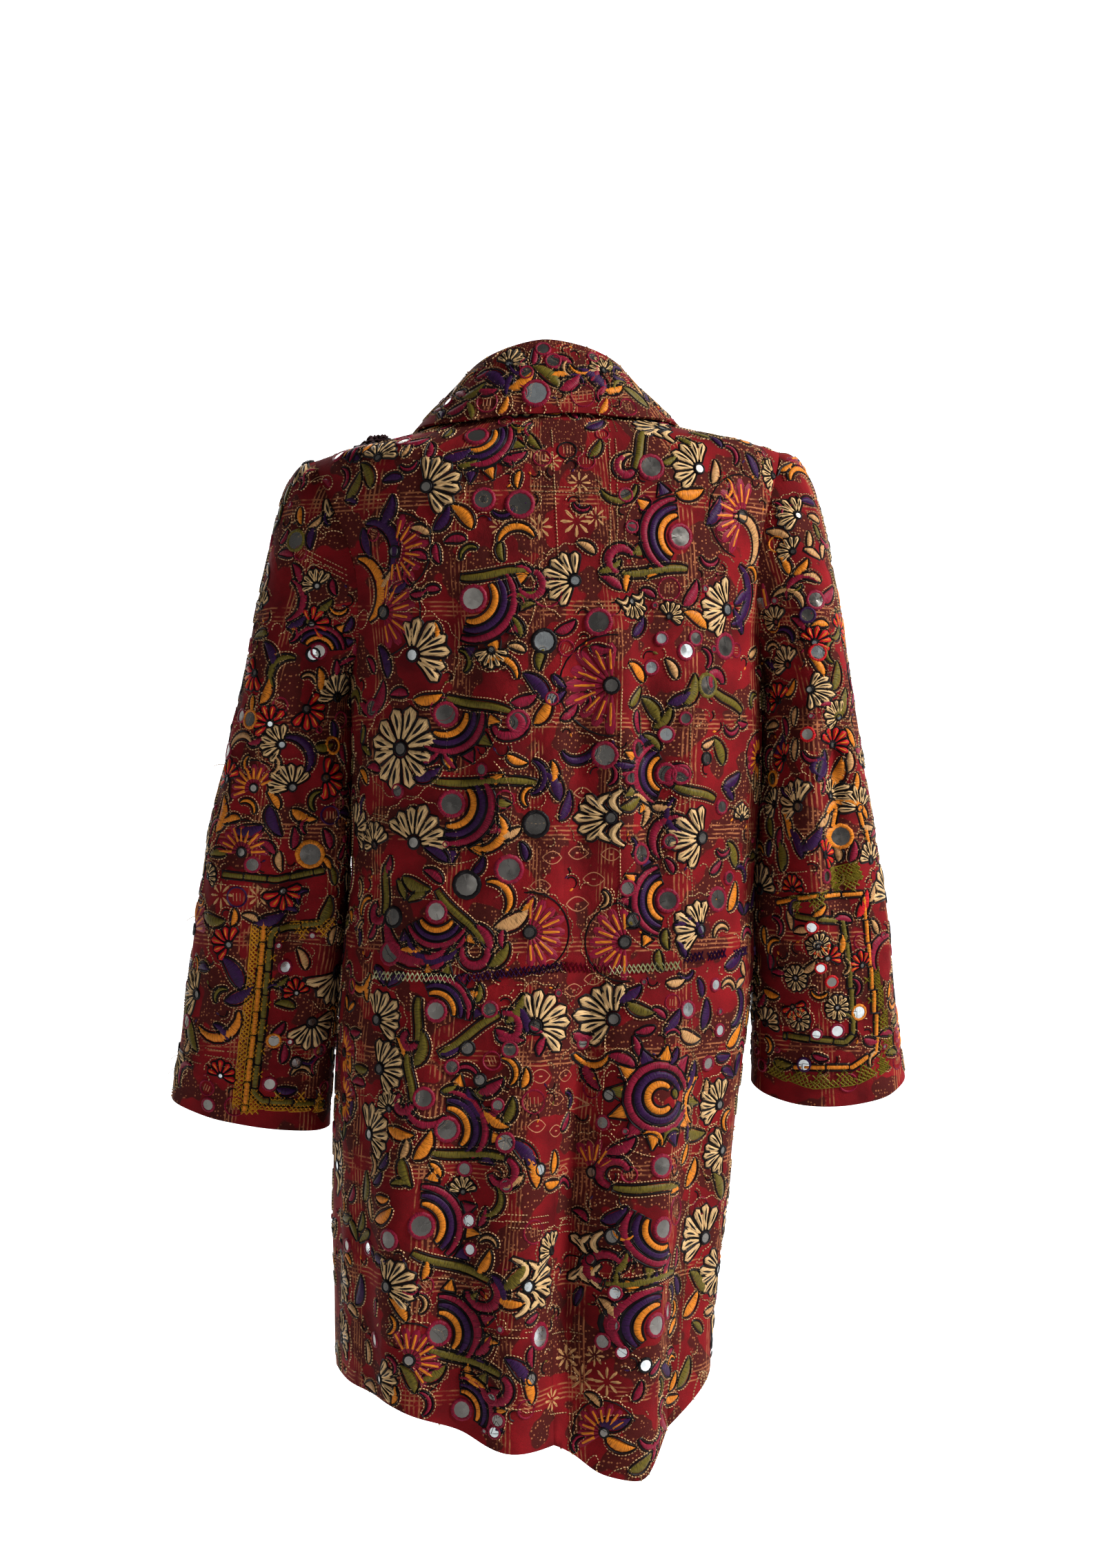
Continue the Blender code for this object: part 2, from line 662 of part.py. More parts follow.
def sheet_normals(points, round_closed):
    """Outward directions of a sheet of points from its own neighbours."""
    up = np.gradient(points, axis=0)
    if round_closed:
        around = np.roll(points, -1, axis=1) - np.roll(points, 1, axis=1)
    else:
        around = np.gradient(points, axis=1)
    return unit(np.cross(around, up))


def build_sleeves(material):
    for side, is_left in (("left", True), ("right", False)):
        points, into_hole = sleeve_rings(is_left)
        normals = sheet_normals(points, True)
        middle = points.mean(axis=1, keepdims=True)
        if ((points - middle) * normals)[len(CAP_SHARES) :].sum() < 0:
            normals = -normals
        leaning = np.clip((normals[0] * into_hole).sum(axis=1, keepdims=True), 0, None)
        normals[0] = unit(normals[0] - leaning * into_hole)
        add_wall(f"sleeve_{side}", points, normals, material, round_closed=True)


def neck_seam(shares, is_left):
    """Points and outward directions of half the neck seam, evenly along its length."""
    neck_width = read_table(SECTIONS, NECK_SIDE_HEIGHT)[1]
    turn = np.linspace(math.pi / 2, 0.0, 40)
    back_across = neck_width * np.cos(turn)
    back_height = neckline_height(back_across, neck_width)
    front_height = np.linspace(NECK_SIDE_HEIGHT, COLLAR_END_HEIGHT, 40)[1:]
    front_across = roll_across(front_height)
    angle = np.concatenate(
        [angle_at(back_across, back_height, True), angle_at(front_across, front_height, False)]
    )
    angle = left_of(angle, is_left)
    height = np.concatenate([back_height, front_height])
    points = body_form(angle, height)
    normals = body_normals(angle, height)
    run = np.concatenate([[0.0], np.cumsum(np.linalg.norm(np.diff(points, axis=0), axis=1))])
    at = shares * run[-1]
    evenly = np.stack([np.interp(at, run, points[:, axis]) for axis in range(3)], axis=-1)
    outward = np.stack([np.interp(at, run, normals[:, axis]) for axis in range(3)], axis=-1)
    return evenly, unit(outward)


def yoke_point(across, along):
    """The point of the yoke's outside above a place seen from above, with its outward direction."""
    heights = np.linspace(0.030, -0.200, 231)
    _, half_width, back, front, _, squareness = read_table(SECTIONS, heights)
    depth = back if along >= 0 else front
    fill = (abs(across) / half_width) ** squareness + (abs(along) / depth) ** squareness
    height = float(np.interp(-1.0, -fill, heights))
    half_width, squareness = read_table(SECTIONS, height)[[1, 5]]
    angle = angle_at(np.array(across), np.array(height), along >= 0)
    return body_form(angle, height), body_normals(angle, height)


def collar_half(is_left):
    """Half of the collar's outside: up the stand, over the roll and down the fall."""
    side = 1.0 if is_left else -1.0
    shares = np.linspace(0.0, 1.0, COLLAR_HALF_COLUMNS + 1)
    seam, seam_out = neck_seam(shares, is_left)
    rise, lean = read_table(STAND, shares)
    across, along = read_table(FALL_EDGE, shares)
    places = [yoke_point(side * x, y) for x, y in zip(across, along)]
    edge = np.array([place for place, _ in places])
    edge_out = np.array([out for _, out in places])
    towards_front = ease((shares - 0.45) / 0.5)[:, None]
    up = unit(np.array([0.0, 0.0, 1.0]) * (1 - towards_front) + seam_out * towards_front)
    level_out = unit(seam_out * np.array([1.0, 1.0, 0.0]))
    beyond = side * unit(np.cross(np.gradient(seam, axis=0), seam_out))
    at_back = beyond * 0.0010 - level_out * WALL / 2
    at_front = beyond * (WALL + SEAM)
    foot = seam + at_back * (1 - towards_front) + at_front * towards_front
    top = foot + up * rise[:, None] + level_out * lean[:, None]
    edge = edge + edge_out * FALL_LIFT
    out = edge - top
    out = unit(out - up * (out * up).sum(axis=1, keepdims=True))
    shoulder_in = top - up * 0.004
    shoulder_out = shoulder_in + out * ROLL_WIDTH
    rows = [
        foot,
        foot + (shoulder_in - foot) * 0.5 - out * 0.0008,
        shoulder_in,
        top + out * ROLL_WIDTH / 2,
        shoulder_out,
    ]
    for share in (0.25, 0.5, 0.78):
        bulge = FALL_BULGE * math.sin(math.pi * share)
        rows.append(shoulder_out + (edge - shoulder_out) * share + edge_out * bulge)
    rows.append(edge)
    return rows


def build_collar(material):
    halves = zip(collar_half(True), collar_half(False))
    points = np.array([np.vstack([right[:0:-1], left]) for left, right in halves])
    normals = sheet_normals(points, False)
    if normals[7, COLLAR_HALF_COLUMNS, 1] < 0:
        normals = -normals
    add_wall("collar", points, normals, material)


def build_lapels(material):
    """Each lapel lies on its front, from the roll line outwards."""
    share = np.linspace(0.0, 1.0, LAPEL_WIDTH_COLUMNS + 1)[None, :]
    for side, is_left in (("left", True), ("right", False)):
        lowest = LEFT_LAPEL_END if is_left else LAPEL[-1][0]
        heights = np.linspace(lowest, LAPEL[0][0], LAPEL_ROWS + 1)[:, None]
        reach, lift = read_table(LAPEL, heights)
        roll = roll_across(heights) + LAPEL_INSET
        inner = np.maximum(roll, LAPEL_CLEARANCE - roll) if is_left else roll
        across = inner + (roll + reach - inner) * share
        level = heights - LAPEL_SLOPE * share * ease((heights + 0.318) / 0.25)
        angle = left_of(angle_at(across, level, False), is_left)
        points = body_form(angle, level)
        normals = body_normals(angle, level)
        offset = LAPEL_SEAT + lift * np.sin(math.pi * np.sqrt(share) / 1.2)
        if is_left:
            offset = offset + lap_offset(angle, level)
        points = points + normals * offset[..., None]
        add_wall(f"lapel_{side}", points, normals, material)


def build_buttons(material):
    """Two buttons on the right front at the middle line."""
    for number, height in enumerate(BUTTON_HEIGHTS, start=1):
        place = body_form(np.array(BREAK_ANGLE), np.array(height))
        out = body_normals(np.array(BREAK_ANGLE), np.array(height))
        bm = bmesh.new()
        bmesh.ops.create_cone(
            bm,
            cap_ends=True,
            segments=20,
            radius1=BUTTON_RADIUS,
            radius2=BUTTON_RADIUS * 0.9,
            depth=BUTTON_THICKNESS,
        )
        bmesh.ops.triangulate(bm, faces=bm.faces)
        obj = add_mesh(f"button_{number}", bm, material)
        obj.rotation_euler = (math.acos(out[2]), 0.0, math.atan2(out[0], -out[1]))
        centre = place + out * (BUTTON_THICKNESS / 2 + BUTTON_SEAT)
        obj.location = tuple(centre)


def build_rosette(material):
    """The small ragged cloth rosette that stands on the left shoulder."""
    place, out = yoke_point(*ROSETTE_PLACE)
    side = unit(np.cross(out, np.array([0.0, 1.0, 0.0])))
    front = np.cross(out, side)
    count = ROSETTE_PETALS * 3
    bm = bmesh.new()
    rings = []
    for radius, height in ROSETTE_RINGS:
        ring = []
        for step in range(count):
            turn = 2 * math.pi * step / count
            reach = ROSETTE_RADIUS * radius * (1 + 0.09 * math.cos(ROSETTE_PETALS * turn))
            lift = 0.0006 + ROSETTE_HEIGHT * height
            spot = place + side * (reach * math.cos(turn)) + front * (reach * math.sin(turn)) + out * lift
            ring.append(bm.verts.new(spot))
        rings.append(ring)
    for low, high in zip(rings, rings[1:]):
        for step in range(count):
            after = (step + 1) % count
            bm.faces.new((low[step], low[after], high[after], high[step]))
    bm.faces.new(rings[0][::-1])
    bm.faces.new(rings[-1])
    bmesh.ops.triangulate(bm, faces=bm.faces)
    add_mesh("shoulder_rosette", bm, material)


def main():
    for obj in list(bpy.data.objects):
        bpy.data.objects.remove(obj, do_unlink=True)
    cloth = cloth_material("madder_cotton", MADDER, 0.85)
    horn = cloth_material("dark_horn", HORN, 0.4)
    build_body(cloth)
    build_sleeves(cloth)
    build_collar(cloth)
    build_lapels(cloth)
    build_buttons(horn)
    build_rosette(cloth_material("plum_cotton", PLUM, 0.9))


main()
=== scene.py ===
"""Dressed look of a knee-length embroidered coat in its worn form.

Every cloth piece is a fine shell on its solid's form, with creases and a printed madder cotton.
The needlework is laid on those shells as thread relief: satin petals, crescents, couched outlines,
running stitches and small mirrors in thread rims, placed from a chart in frame coordinates.
"""

import logging
import math
import random
from dataclasses import dataclass, field
from enum import Enum
from typing import Dict, List, Optional, Sequence, Tuple

import bmesh
import bpy
import numpy as np
from bpy.types import Material, Mesh, Node, NodeSocket, Object
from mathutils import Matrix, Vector
from mathutils.bvhtree import BVHTree

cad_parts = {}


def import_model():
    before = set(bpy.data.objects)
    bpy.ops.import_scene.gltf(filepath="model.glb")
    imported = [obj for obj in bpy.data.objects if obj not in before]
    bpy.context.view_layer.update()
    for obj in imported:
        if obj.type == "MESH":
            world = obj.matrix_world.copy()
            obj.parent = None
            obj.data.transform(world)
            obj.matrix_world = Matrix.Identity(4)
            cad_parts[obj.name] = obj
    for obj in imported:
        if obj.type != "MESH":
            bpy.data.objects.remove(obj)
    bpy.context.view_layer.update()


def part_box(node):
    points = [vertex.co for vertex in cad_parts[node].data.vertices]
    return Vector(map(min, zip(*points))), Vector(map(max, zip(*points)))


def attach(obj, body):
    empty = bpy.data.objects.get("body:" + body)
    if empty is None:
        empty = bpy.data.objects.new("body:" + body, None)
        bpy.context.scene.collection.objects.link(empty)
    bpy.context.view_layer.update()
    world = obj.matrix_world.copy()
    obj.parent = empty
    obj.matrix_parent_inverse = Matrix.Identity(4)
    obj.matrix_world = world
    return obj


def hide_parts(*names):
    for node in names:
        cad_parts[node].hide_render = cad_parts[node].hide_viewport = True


LOG = logging.getLogger("coat")

FRAME_MIDDLE = (812.0, 1137.0)
PIXELS_PER_TANGENT = 3221.5  # of the camera below, on a frame 1624 by 2274
CAMERA_PLACE = (-0.0094, 1.9, -0.316)
LENS_MM = 51.0
FRAME_METRES = 1.0 / 1700.0  # one frame pixel on the coat
CLOTH_EDGE = math.radians(42)  # a steeper edge of the cloth is a cut edge and stays sharp
THREAD_EDGE = math.radians(75)

Face = Tuple[int, ...]
Pair = Tuple[float, float]
Row = Tuple[float, ...]
Colour = Tuple[float, float, float]
Landing = Tuple[Vector, Vector, str]  # a point of the cloth, the direction outwards there and its panel


class Thread(Enum):
    """Thread colours, as linear red, green and blue."""

    CREAM = (0.66, 0.42, 0.19)
    TAN = (0.50, 0.26, 0.10)
    ORANGE = (0.64, 0.19, 0.012)
    OLIVE = (0.125, 0.092, 0.010)
    WINE = (0.215, 0.005, 0.025)
    RED = (0.50, 0.006, 0.010)
    PURPLE = (0.030, 0.0045, 0.046)
    BLACK = (0.004, 0.002, 0.003)
    STITCH = (0.62, 0.39, 0.19)
    PRINT = (0.42, 0.17, 0.08)
    LACE = (0.20, 0.15, 0.012)
    GOLD = (0.60, 0.27, 0.018)
    SAGE = (0.55, 0.54, 0.30)


class Mirror(Enum):
    """Finishes of the small mirrors."""

    BRIGHT = (0.80, 0.85, 0.85)
    GREY = (0.23, 0.215, 0.195)


CREAM, TAN, ORANGE, OLIVE, WINE, RED, PURPLE, BLACK, STITCH, PRINT, LACE, GOLD, SAGE = Thread
BRIGHT, GREY = Mirror


class Side(Enum):
    """The side of the coat that the chart is read from."""

    BACK = -1.0
    FRONT = 1.0


class Grain(Enum):
    """How the threads run on a patch."""

    ALONG = 0
    ACROSS = 1


class LineWork(Enum):
    """How a line of the chart is worked."""

    STITCHES = 0
    BORDER = 1
    LACE = 2
    HERRINGBONE = 3


def ease(share: np.ndarray) -> np.ndarray:
    """A smooth step from 0 to 1.

    Args:
        share: Values that run from 0 to 1, or beyond.

    Returns:
        The eased values.
    """
    share = np.clip(share, 0.0, 1.0)
    return share * share * (3 - 2 * share)


def read_rows(rows: Sequence[Row], at: np.ndarray) -> np.ndarray:
    """Reads a table's columns at values of its first one.

    Args:
        rows: The table, its first column falling or rising.
        at: Values of the first column.

    Returns:
        One array for each further column.
    """
    data = np.array(sorted(rows))
    return np.array([np.interp(at, data[:, 0], column) for column in data.T[1:]])


def run_of(line: np.ndarray) -> np.ndarray:
    """The length of a line up to each of its points."""
    return np.concatenate([[0.0], np.cumsum(np.linalg.norm(np.diff(line, axis=0), axis=1))])


def points_at(line: np.ndarray, run: np.ndarray, at: np.ndarray) -> np.ndarray:
    """Points of a flat line where its run has given values."""
    return np.stack([np.interp(at, run, line[:, k]) for k in (0, 1)], axis=-1)


def swell(share: np.ndarray, low: float, high: float, power: float) -> np.ndarray:
    """A width along a line, 1 in its middle and small at its ends, and fuller for a power below 1."""
    return np.sin(math.pi * np.clip(share, low, high)) ** power


def set_flats(mesh: Mesh, flats: np.ndarray) -> None:
    """Gives a mesh its flat coordinates in metres, a pair for each vertex, as its only layer.

    Args:
        mesh: The mesh.
        flats: The pairs.
    """
    index = np.zeros(len(mesh.loops), dtype=np.int32)
    mesh.loops.foreach_get("vertex_index", index)
    while mesh.uv_layers:
        mesh.uv_layers.remove(mesh.uv_layers[0])
    mesh.uv_layers.new(name="cloth").uv.foreach_set("vector", flats[index].ravel())


def link(name: str, data: object) -> Object:
    """Makes an object of a mesh, light or camera and links it to the scene.

    Args:
        name: The object's name.
        data: The mesh, light or camera.

    Returns:
        The object.
    """
    thing = bpy.data.objects.new(name, data)
    bpy.context.scene.collection.objects.link(thing)
    return thing


def link_mesh(
    name: str,
    points: Sequence[Vector],
    faces: Sequence[Face],
    materials: Sequence[Material],
    slots: Sequence[int] = (),
) -> Object:
    """Makes a smooth mesh and links it to the scene.

    Args:
        name: The name of the object and its mesh.
        points: The vertices.
        faces: The faces, as indices of vertices.
        materials: The materials in the order of their slots.
        slots: The material slot of each face, if there is more than one.

    Returns:
        The object.
    """
    mesh = bpy.data.meshes.new(name)
    mesh.from_pydata(points, [], faces)
    for material in materials:
        mesh.materials.append(material)
    if len(slots):
        mesh.polygons.foreach_set("material_index", slots)
    mesh.shade_smooth()
    return link(name, mesh)


class Graph:
    """A material's node tree, with short calls for the nodes that the finishes use."""

    def __init__(self, name: str) -> None:
        """Starts an empty material with its shader.

        Args:
            name: The material's name.
        """
        self.material = bpy.data.materials.new(name)
        self.material.use_nodes = True
        self.nodes = self.material.node_tree.nodes
        self.links = self.material.node_tree.links
        self.shader = self.nodes["Principled BSDF"]

    def add(self, kind: str, **values: object) -> Node:
        """Adds a node and sets its properties.

        Args:
            kind: The node's class name without the leading part.
            values: Properties of the node.

        Returns:
            The node.
        """
        node = self.nodes.new("ShaderNode" + kind)
        for key, value in values.items():
            setattr(node, key, value)
        return node

    def put(self, value: object, socket: NodeSocket) -> None:
        """Links a socket, or sets a plain value.

        Args:
            value: A socket or a plain value.
            socket: The input that takes it.
        """
        if isinstance(value, NodeSocket):
            self.links.new(value, socket)
        else:
            socket.default_value = value

    def math(self, kind: str, first: object, second: object = 0.0) -> NodeSocket:
        """A math node's result.

        Args:
            kind: The operation.
            first: A socket or a number.
            second: The same.

        Returns:
            The result.
        """
        node = self.add("Math", operation=kind)
        self.put(first, node.inputs[0])
        self.put(second, node.inputs[1])
        return node.outputs[0]

    def noise(self, place: object, scale: float, detail: float = 2.0) -> NodeSocket:
        """Noise at a place, from 0 to 1.

        Args:
            place: The place's socket.
            scale: Waves a metre.
            detail: How many finer layers it has.

        Returns:
            The noise.
        """
        node = self.add("TexNoise")
        self.put(place, node.inputs["Vector"])
        node.inputs["Scale"].default_value = scale
        node.inputs["Detail"].default_value = detail
        return node.outputs["Fac"]

    def band(self, value: object, low: float, high: float) -> NodeSocket:
        """A value spread from 0 at low to 1 at high, and held beyond.

        Args:
            value: The value's socket.
            low: Where it starts.
            high: Where it ends.

        Returns:
            The spread value.
        """
        node = self.add("MapRange")
        self.put(value, node.inputs["Value"])
        node.inputs["From Min"].default_value = low
        node.inputs["From Max"].default_value = high
        return node.outputs["Result"]

    def mix(self, share: object, first: object, second: object) -> NodeSocket:
        """A mix of two colours.

        Args:
            share: The second colour's share.
            first: A socket or a colour.
            second: The same.

        Returns:
            The mixed colour.
        """
        node = self.add("Mix", data_type="RGBA")
        self.put(share, node.inputs[0])
        for value, socket in ((first, node.inputs[6]), (second, node.inputs[7])):
            self.put((*value, 1.0) if isinstance(value, tuple) else value, socket)
        return node.outputs[2]

    def surface(self, colour: object, **values: float) -> None:
        """Sets the shader's base colour, and plain values by their sockets' names with _ for a space.

        Args:
            colour: A socket or a plain colour.
            values: The plain values.
        """
        self.put(colour, self.shader.inputs["Base Color"])
        for name, value in values.items():
            self.shader.inputs[name.replace("_", " ")].default_value = value

    def bump(self, height: object, distance: float, strength: float) -> None:
        """Gives the shader a bump from a height.

        Args:
            height: The height's socket.
            distance: The height of 1 in metres.
            strength: From 0 to 1.
        """
        node = self.add("Bump")
        node.inputs["Strength"].default_value = strength
        node.inputs["Distance"].default_value = distance
        self.put(height, node.inputs["Height"])
        self.links.new(node.outputs[0], self.shader.inputs["Normal"])

    def flat_place(self) -> Tuple[NodeSocket, NodeSocket, NodeSocket]:
        """The cloth's own flat coordinates in metres, and their two parts."""
        place = self.add("UVMap", uv_map="cloth").outputs[0]
        parts = self.add("SeparateXYZ")
        self.links.new(place, parts.inputs[0])
        return place, parts.outputs[0], parts.outputs[1]


@dataclass(frozen=True)
class PrintedCotton:
    """Madder cotton printed with line bundles and dotted fields."""

    name: str = "printed_madder_cotton"
    lit: Colour = (0.225, 0.0065, 0.010)
    deep: Colour = (0.088, 0.003, 0.005)
    line: Colour = (0.34, 0.120, 0.050)
    brown: Colour = (0.040, 0.008, 0.006)
    mottle_scale: float = 22.0
    slub_scale: float = 900.0
    patch_scale: float = 24.0
    dot_scale: float = 330.0
    dot_radius: float = 0.27
    wear_scale: float = 95.0
    wobble_scale: float = 60.0
    wobble_m: float = 0.0022
    across_m: float = 0.074
    across_share: float = 0.20
    along_m: float = 0.090
    along_share: float = 0.16
    line_pitch_m: float = 0.0036
    line_share: float = 0.36
    pucker_scale: float = 130.0
    weave_scale: float = 1300.0
    pucker_m: float = 0.0016

    def bundle(self, graph: Graph, value: object, period: float, share: float) -> NodeSocket:
        """A bundle of thin lines once in a period.

        Args:
            graph: The material's graph.
            value: The coordinate across the lines, in metres.
            period: The distance from bundle to bundle.
            share: The part of the period that a bundle fills.

        Returns:
            1 on the lines and 0 beside them.
        """
        in_cell = graph.math("FRACT", graph.math("DIVIDE", value, period))
        inside = graph.math("LESS_THAN", in_cell, share)
        lines = graph.math("FRACT", graph.math("DIVIDE", value, self.line_pitch_m))
        return graph.math("MULTIPLY", inside, graph.math("LESS_THAN", lines, self.line_share))

    def material(self) -> Material:
        """Builds the cloth's material."""
        graph = Graph(self.name)
        place, across, along = graph.flat_place()
        wobble = graph.math("MULTIPLY", graph.noise(place, self.wobble_scale), self.wobble_m)
        across = graph.math("ADD", across, wobble)
        along = graph.math("ADD", along, wobble)
        mottle = graph.band(graph.noise(place, self.mottle_scale, 5.0), 0.34, 0.66)
        ground = graph.mix(mottle, self.deep, self.lit)
        slub = graph.band(graph.noise(place, self.slub_scale, 1.0), 0.35, 0.75)
        ground = graph.mix(graph.math("MULTIPLY", slub, 0.35), ground, self.brown)
        field_mask = graph.band(graph.noise(place, self.patch_scale, 2.0), 0.505, 0.520)
        dots = graph.add("TexVoronoi", feature="F1")
        dots.inputs["Scale"].default_value = self.dot_scale
        dots.inputs["Randomness"].default_value = 0.55
        graph.links.new(place, dots.inputs["Vector"])
        dot = graph.math("LESS_THAN", dots.outputs["Distance"], self.dot_radius)
        fields = graph.mix(graph.math("MULTIPLY", field_mask, 0.85), ground, self.brown)
        fields = graph.mix(graph.math("MULTIPLY", field_mask, graph.math("MULTIPLY", dot, 0.8)), fields, self.line)
        worn = graph.band(graph.noise(place, self.wear_scale, 3.0), 0.40, 0.58)
        upright = self.bundle(graph, across, self.across_m, self.across_share)
        level = self.bundle(graph, along, self.along_m, self.along_share)
        lines = graph.math("MULTIPLY", graph.math("MAXIMUM", upright, level), worn)
        colour = graph.mix(graph.math("MULTIPLY", lines, 0.85), fields, self.line)
        graph.surface(colour, Roughness=0.9, Specular_IOR_Level=0.08)
        pucker = graph.noise(place, self.pucker_scale, 3.0)
        weave = graph.math("MULTIPLY", graph.noise(place, self.weave_scale, 1.0), 0.30)
        graph.bump(graph.math("ADD", pucker, weave), self.pucker_m, 0.55)
        return graph.material


@dataclass(frozen=True)
class ThreadFinish:
    """Floss laid in rows, with a soft sheen, and painted shade that darkens the grooves between its strands."""

    thread: Thread
    along_scale: float = 170.0
    across_scale: float = 1150.0
    groove_shade_share: float = 0.36
    groove_m: float = 0.0006

    def material(self) -> Material:
        """Builds the thread's material."""
        graph = Graph("thread_" + self.thread.name.lower())
        _, along, across = graph.flat_place()
        stretched = graph.add("CombineXYZ")
        graph.put(graph.math("MULTIPLY", along, self.along_scale), stretched.inputs[0])
        graph.put(graph.math("MULTIPLY", across, self.across_scale), stretched.inputs[1])
        strands = graph.noise(stretched.outputs[0], 1.0, 1.5)
        # painted shade: the thread colour is darkened where the strands' bump is low, in the grooves between strands
        painted_groove_shade = tuple(self.groove_shade_share * part for part in self.thread.value)
        colour = graph.mix(graph.band(strands, 0.30, 0.56), painted_groove_shade, self.thread.value)
        graph.surface(colour, Roughness=0.50, Sheen_Weight=0.01, Specular_IOR_Level=0.13)
        graph.bump(strands, self.groove_m, 0.7)
        return graph.material


@dataclass(frozen=True)
class MirrorFinish:
    """Thin old mirror glass, a little uneven and clouded."""

    mirror: Mirror
    cloud_scale: float = 90.0
    cloud_share: float = 0.80
    wave_scale: float = 70.0
    wave_m: float = 0.0006

    def material(self) -> Material:
        """Builds the mirror's material."""
        graph = Graph("mirror_" + self.mirror.name.lower())
        place, _, _ = graph.flat_place()
        cloud = graph.band(graph.noise(place, self.cloud_scale, 2.0), 0.30, 0.75)
        dim = tuple(self.cloud_share * part for part in self.mirror.value)
        graph.surface(graph.mix(cloud, self.mirror.value, dim), Metallic=1.0)
        graph.put(graph.band(cloud, -0.6, 3.2), graph.shader.inputs["Roughness"])
        graph.bump(graph.noise(place, self.wave_scale, 1.0), self.wave_m, 0.20)
        return graph.material


@dataclass(frozen=True)
class PlainFinish:
    """A plain surface with a fine mottle, for the buttons and the rosette's cloth."""

    name: str
    colour: Colour
    roughness: float
    scale: float
    depth_m: float
    dark_share: float = 0.62

    def material(self) -> Material:
        """Builds the material from the object's own place."""
        graph = Graph(self.name)
        place = graph.add("TexCoord").outputs["Object"]
        speck = graph.noise(place, self.scale, 3.0)
        dark = tuple(self.dark_share * part for part in self.colour)
        graph.surface(graph.mix(graph.band(speck, 0.35, 0.62), dark, self.colour), Roughness=self.roughness)
        graph.bump(speck, self.depth_m, 0.4)
        return graph.material


@dataclass(frozen=True)
class Axis:
    """The middle line of a tube of cloth: rows of height, across and along, and its rough radius."""

    rows: Tuple[Row, ...]
    radius: float

    def around(self, points: np.ndarray) -> Tuple[np.ndarray, np.ndarray]:
        """Where points lie round the middle line.

        Args:
            points: Points of the coat, one a row.

        Returns:
            The angle of each in radians, 0 on the wearer's left and a quarter turn at the back,
            and the level direction outwards.
        """
        middle = read_rows(self.rows, points[:, 2])
        offset = points[:, :2] - middle[:2].T
        away = np.concatenate([offset, np.zeros((len(points), 1))], axis=1)
        away /= np.maximum(np.linalg.norm(away, axis=1, keepdims=True), 1e-9)
        return np.arctan2(offset[:, 1], offset[:, 0]), away


BODY_AXIS = Axis(
    ((0.05, 0.003, 0.0), (-0.2, -0.005, 0.0), (-0.45, 0.0, 0.0), (-0.75, 0.02, 0.0), (-0.9, 0.022, 0.0)), 0.155
)
LEFT_ARM = Axis(
    ((0.0, 0.165, 0.0), (-0.12, 0.185, 0.0), (-0.245, 0.218, 0.0), (-0.42, 0.238, -0.001), (-0.62, 0.26, -0.03)),
    0.06,
)
RIGHT_ARM = Axis(
    ((0.0, -0.165, 0.0), (-0.12, -0.19, 0.0), (-0.245, -0.223, 0.0), (-0.44, -0.235, -0.006), (-0.6, -0.243, -0.03)),
    0.06,
)
COLLAR_AXIS = Axis(((0.06, 0.003, 0.01), (-0.06, 0.003, 0.005)), 0.085)


@dataclass(frozen=True)
class Creases:
    """Soft troughs and ridges of a tube of cloth.

    Rows: angle in degrees, its lean, half spread in degrees, depth, upper and lower end.
    """

    rows: Tuple[Row, ...]
    slack_m: float

    def depth(self, turn: np.ndarray, height: np.ndarray) -> np.ndarray:
        """How far the creases move the cloth outwards.

        Args:
            turn: Angles in radians.
            height: Heights in metres.

        Returns:
            The move of each point in metres.
        """
        degrees = np.degrees(turn)
        moved = np.zeros(len(turn))
        for middle, lean, spread, most, top, bottom in self.rows:
            share = (top - height) / (top - bottom)
            grown = ease(share * 2.5) * ease((1 - share) * 2.5)
            off = (degrees - middle - lean * (share - 0.5) + 180.0) % 360.0 - 180.0
            moved += most * grown * np.exp(-((off / spread) ** 2))
        uneven = np.sin(7 * turn + 31 * height) * np.sin(43 * height + 2 * turn) + 0.6 * np.sin(71 * height + 5 * turn)
        return moved + self.slack_m * uneven


BODY_CREASES = Creases(
    (
        (3, 0, 24, 0.0056, -0.1, -0.6), (180, 0, 24, 0.0066, -0.1, -0.6), (88, 3, 7, 0.007, -0.42, -0.92),
        (108, -4, 8, -0.018, -0.4, -0.92), (134, -6, 9, 0.0085, -0.4, -0.9), (152, 6, 8, -0.005, -0.46, -0.86),
        (66, 6, 8, -0.008, -0.44, -0.92), (50, -4, 7, 0.0044, -0.5, -0.86), (34, 5, 7, -0.004, -0.48, -0.84),
        (58, 12, 6, -0.0078, -0.1, -0.42), (72, -8, 6, 0.005, -0.18, -0.48), (101, 5, 6, -0.0064, -0.14, -0.48),
        (90, -3, 6, 0.003, -0.2, -0.46), (116, 8, 5, 0.0055, -0.12, -0.46), (128, 12, 6, -0.0085, -0.12, -0.48),
        (140, -4, 5, 0.0036, -0.18, -0.46), (-58, 9, 6, -0.004, -0.2, -0.42), (-118, -8, 7, -0.0038, -0.24, -0.44),
        (-40, 6, 7, 0.0044, -0.48, -0.88), (-62, -5, 8, -0.0048, -0.48, -0.86), (-112, 4, 8, 0.0046, -0.46, -0.86),
        (-136, -7, 7, -0.005, -0.48, -0.84), (165, 5, 7, 0.0032, -0.52, -0.8), (14, -6, 6, -0.0034, -0.54, -0.8),
    ),
    0.0007,
)
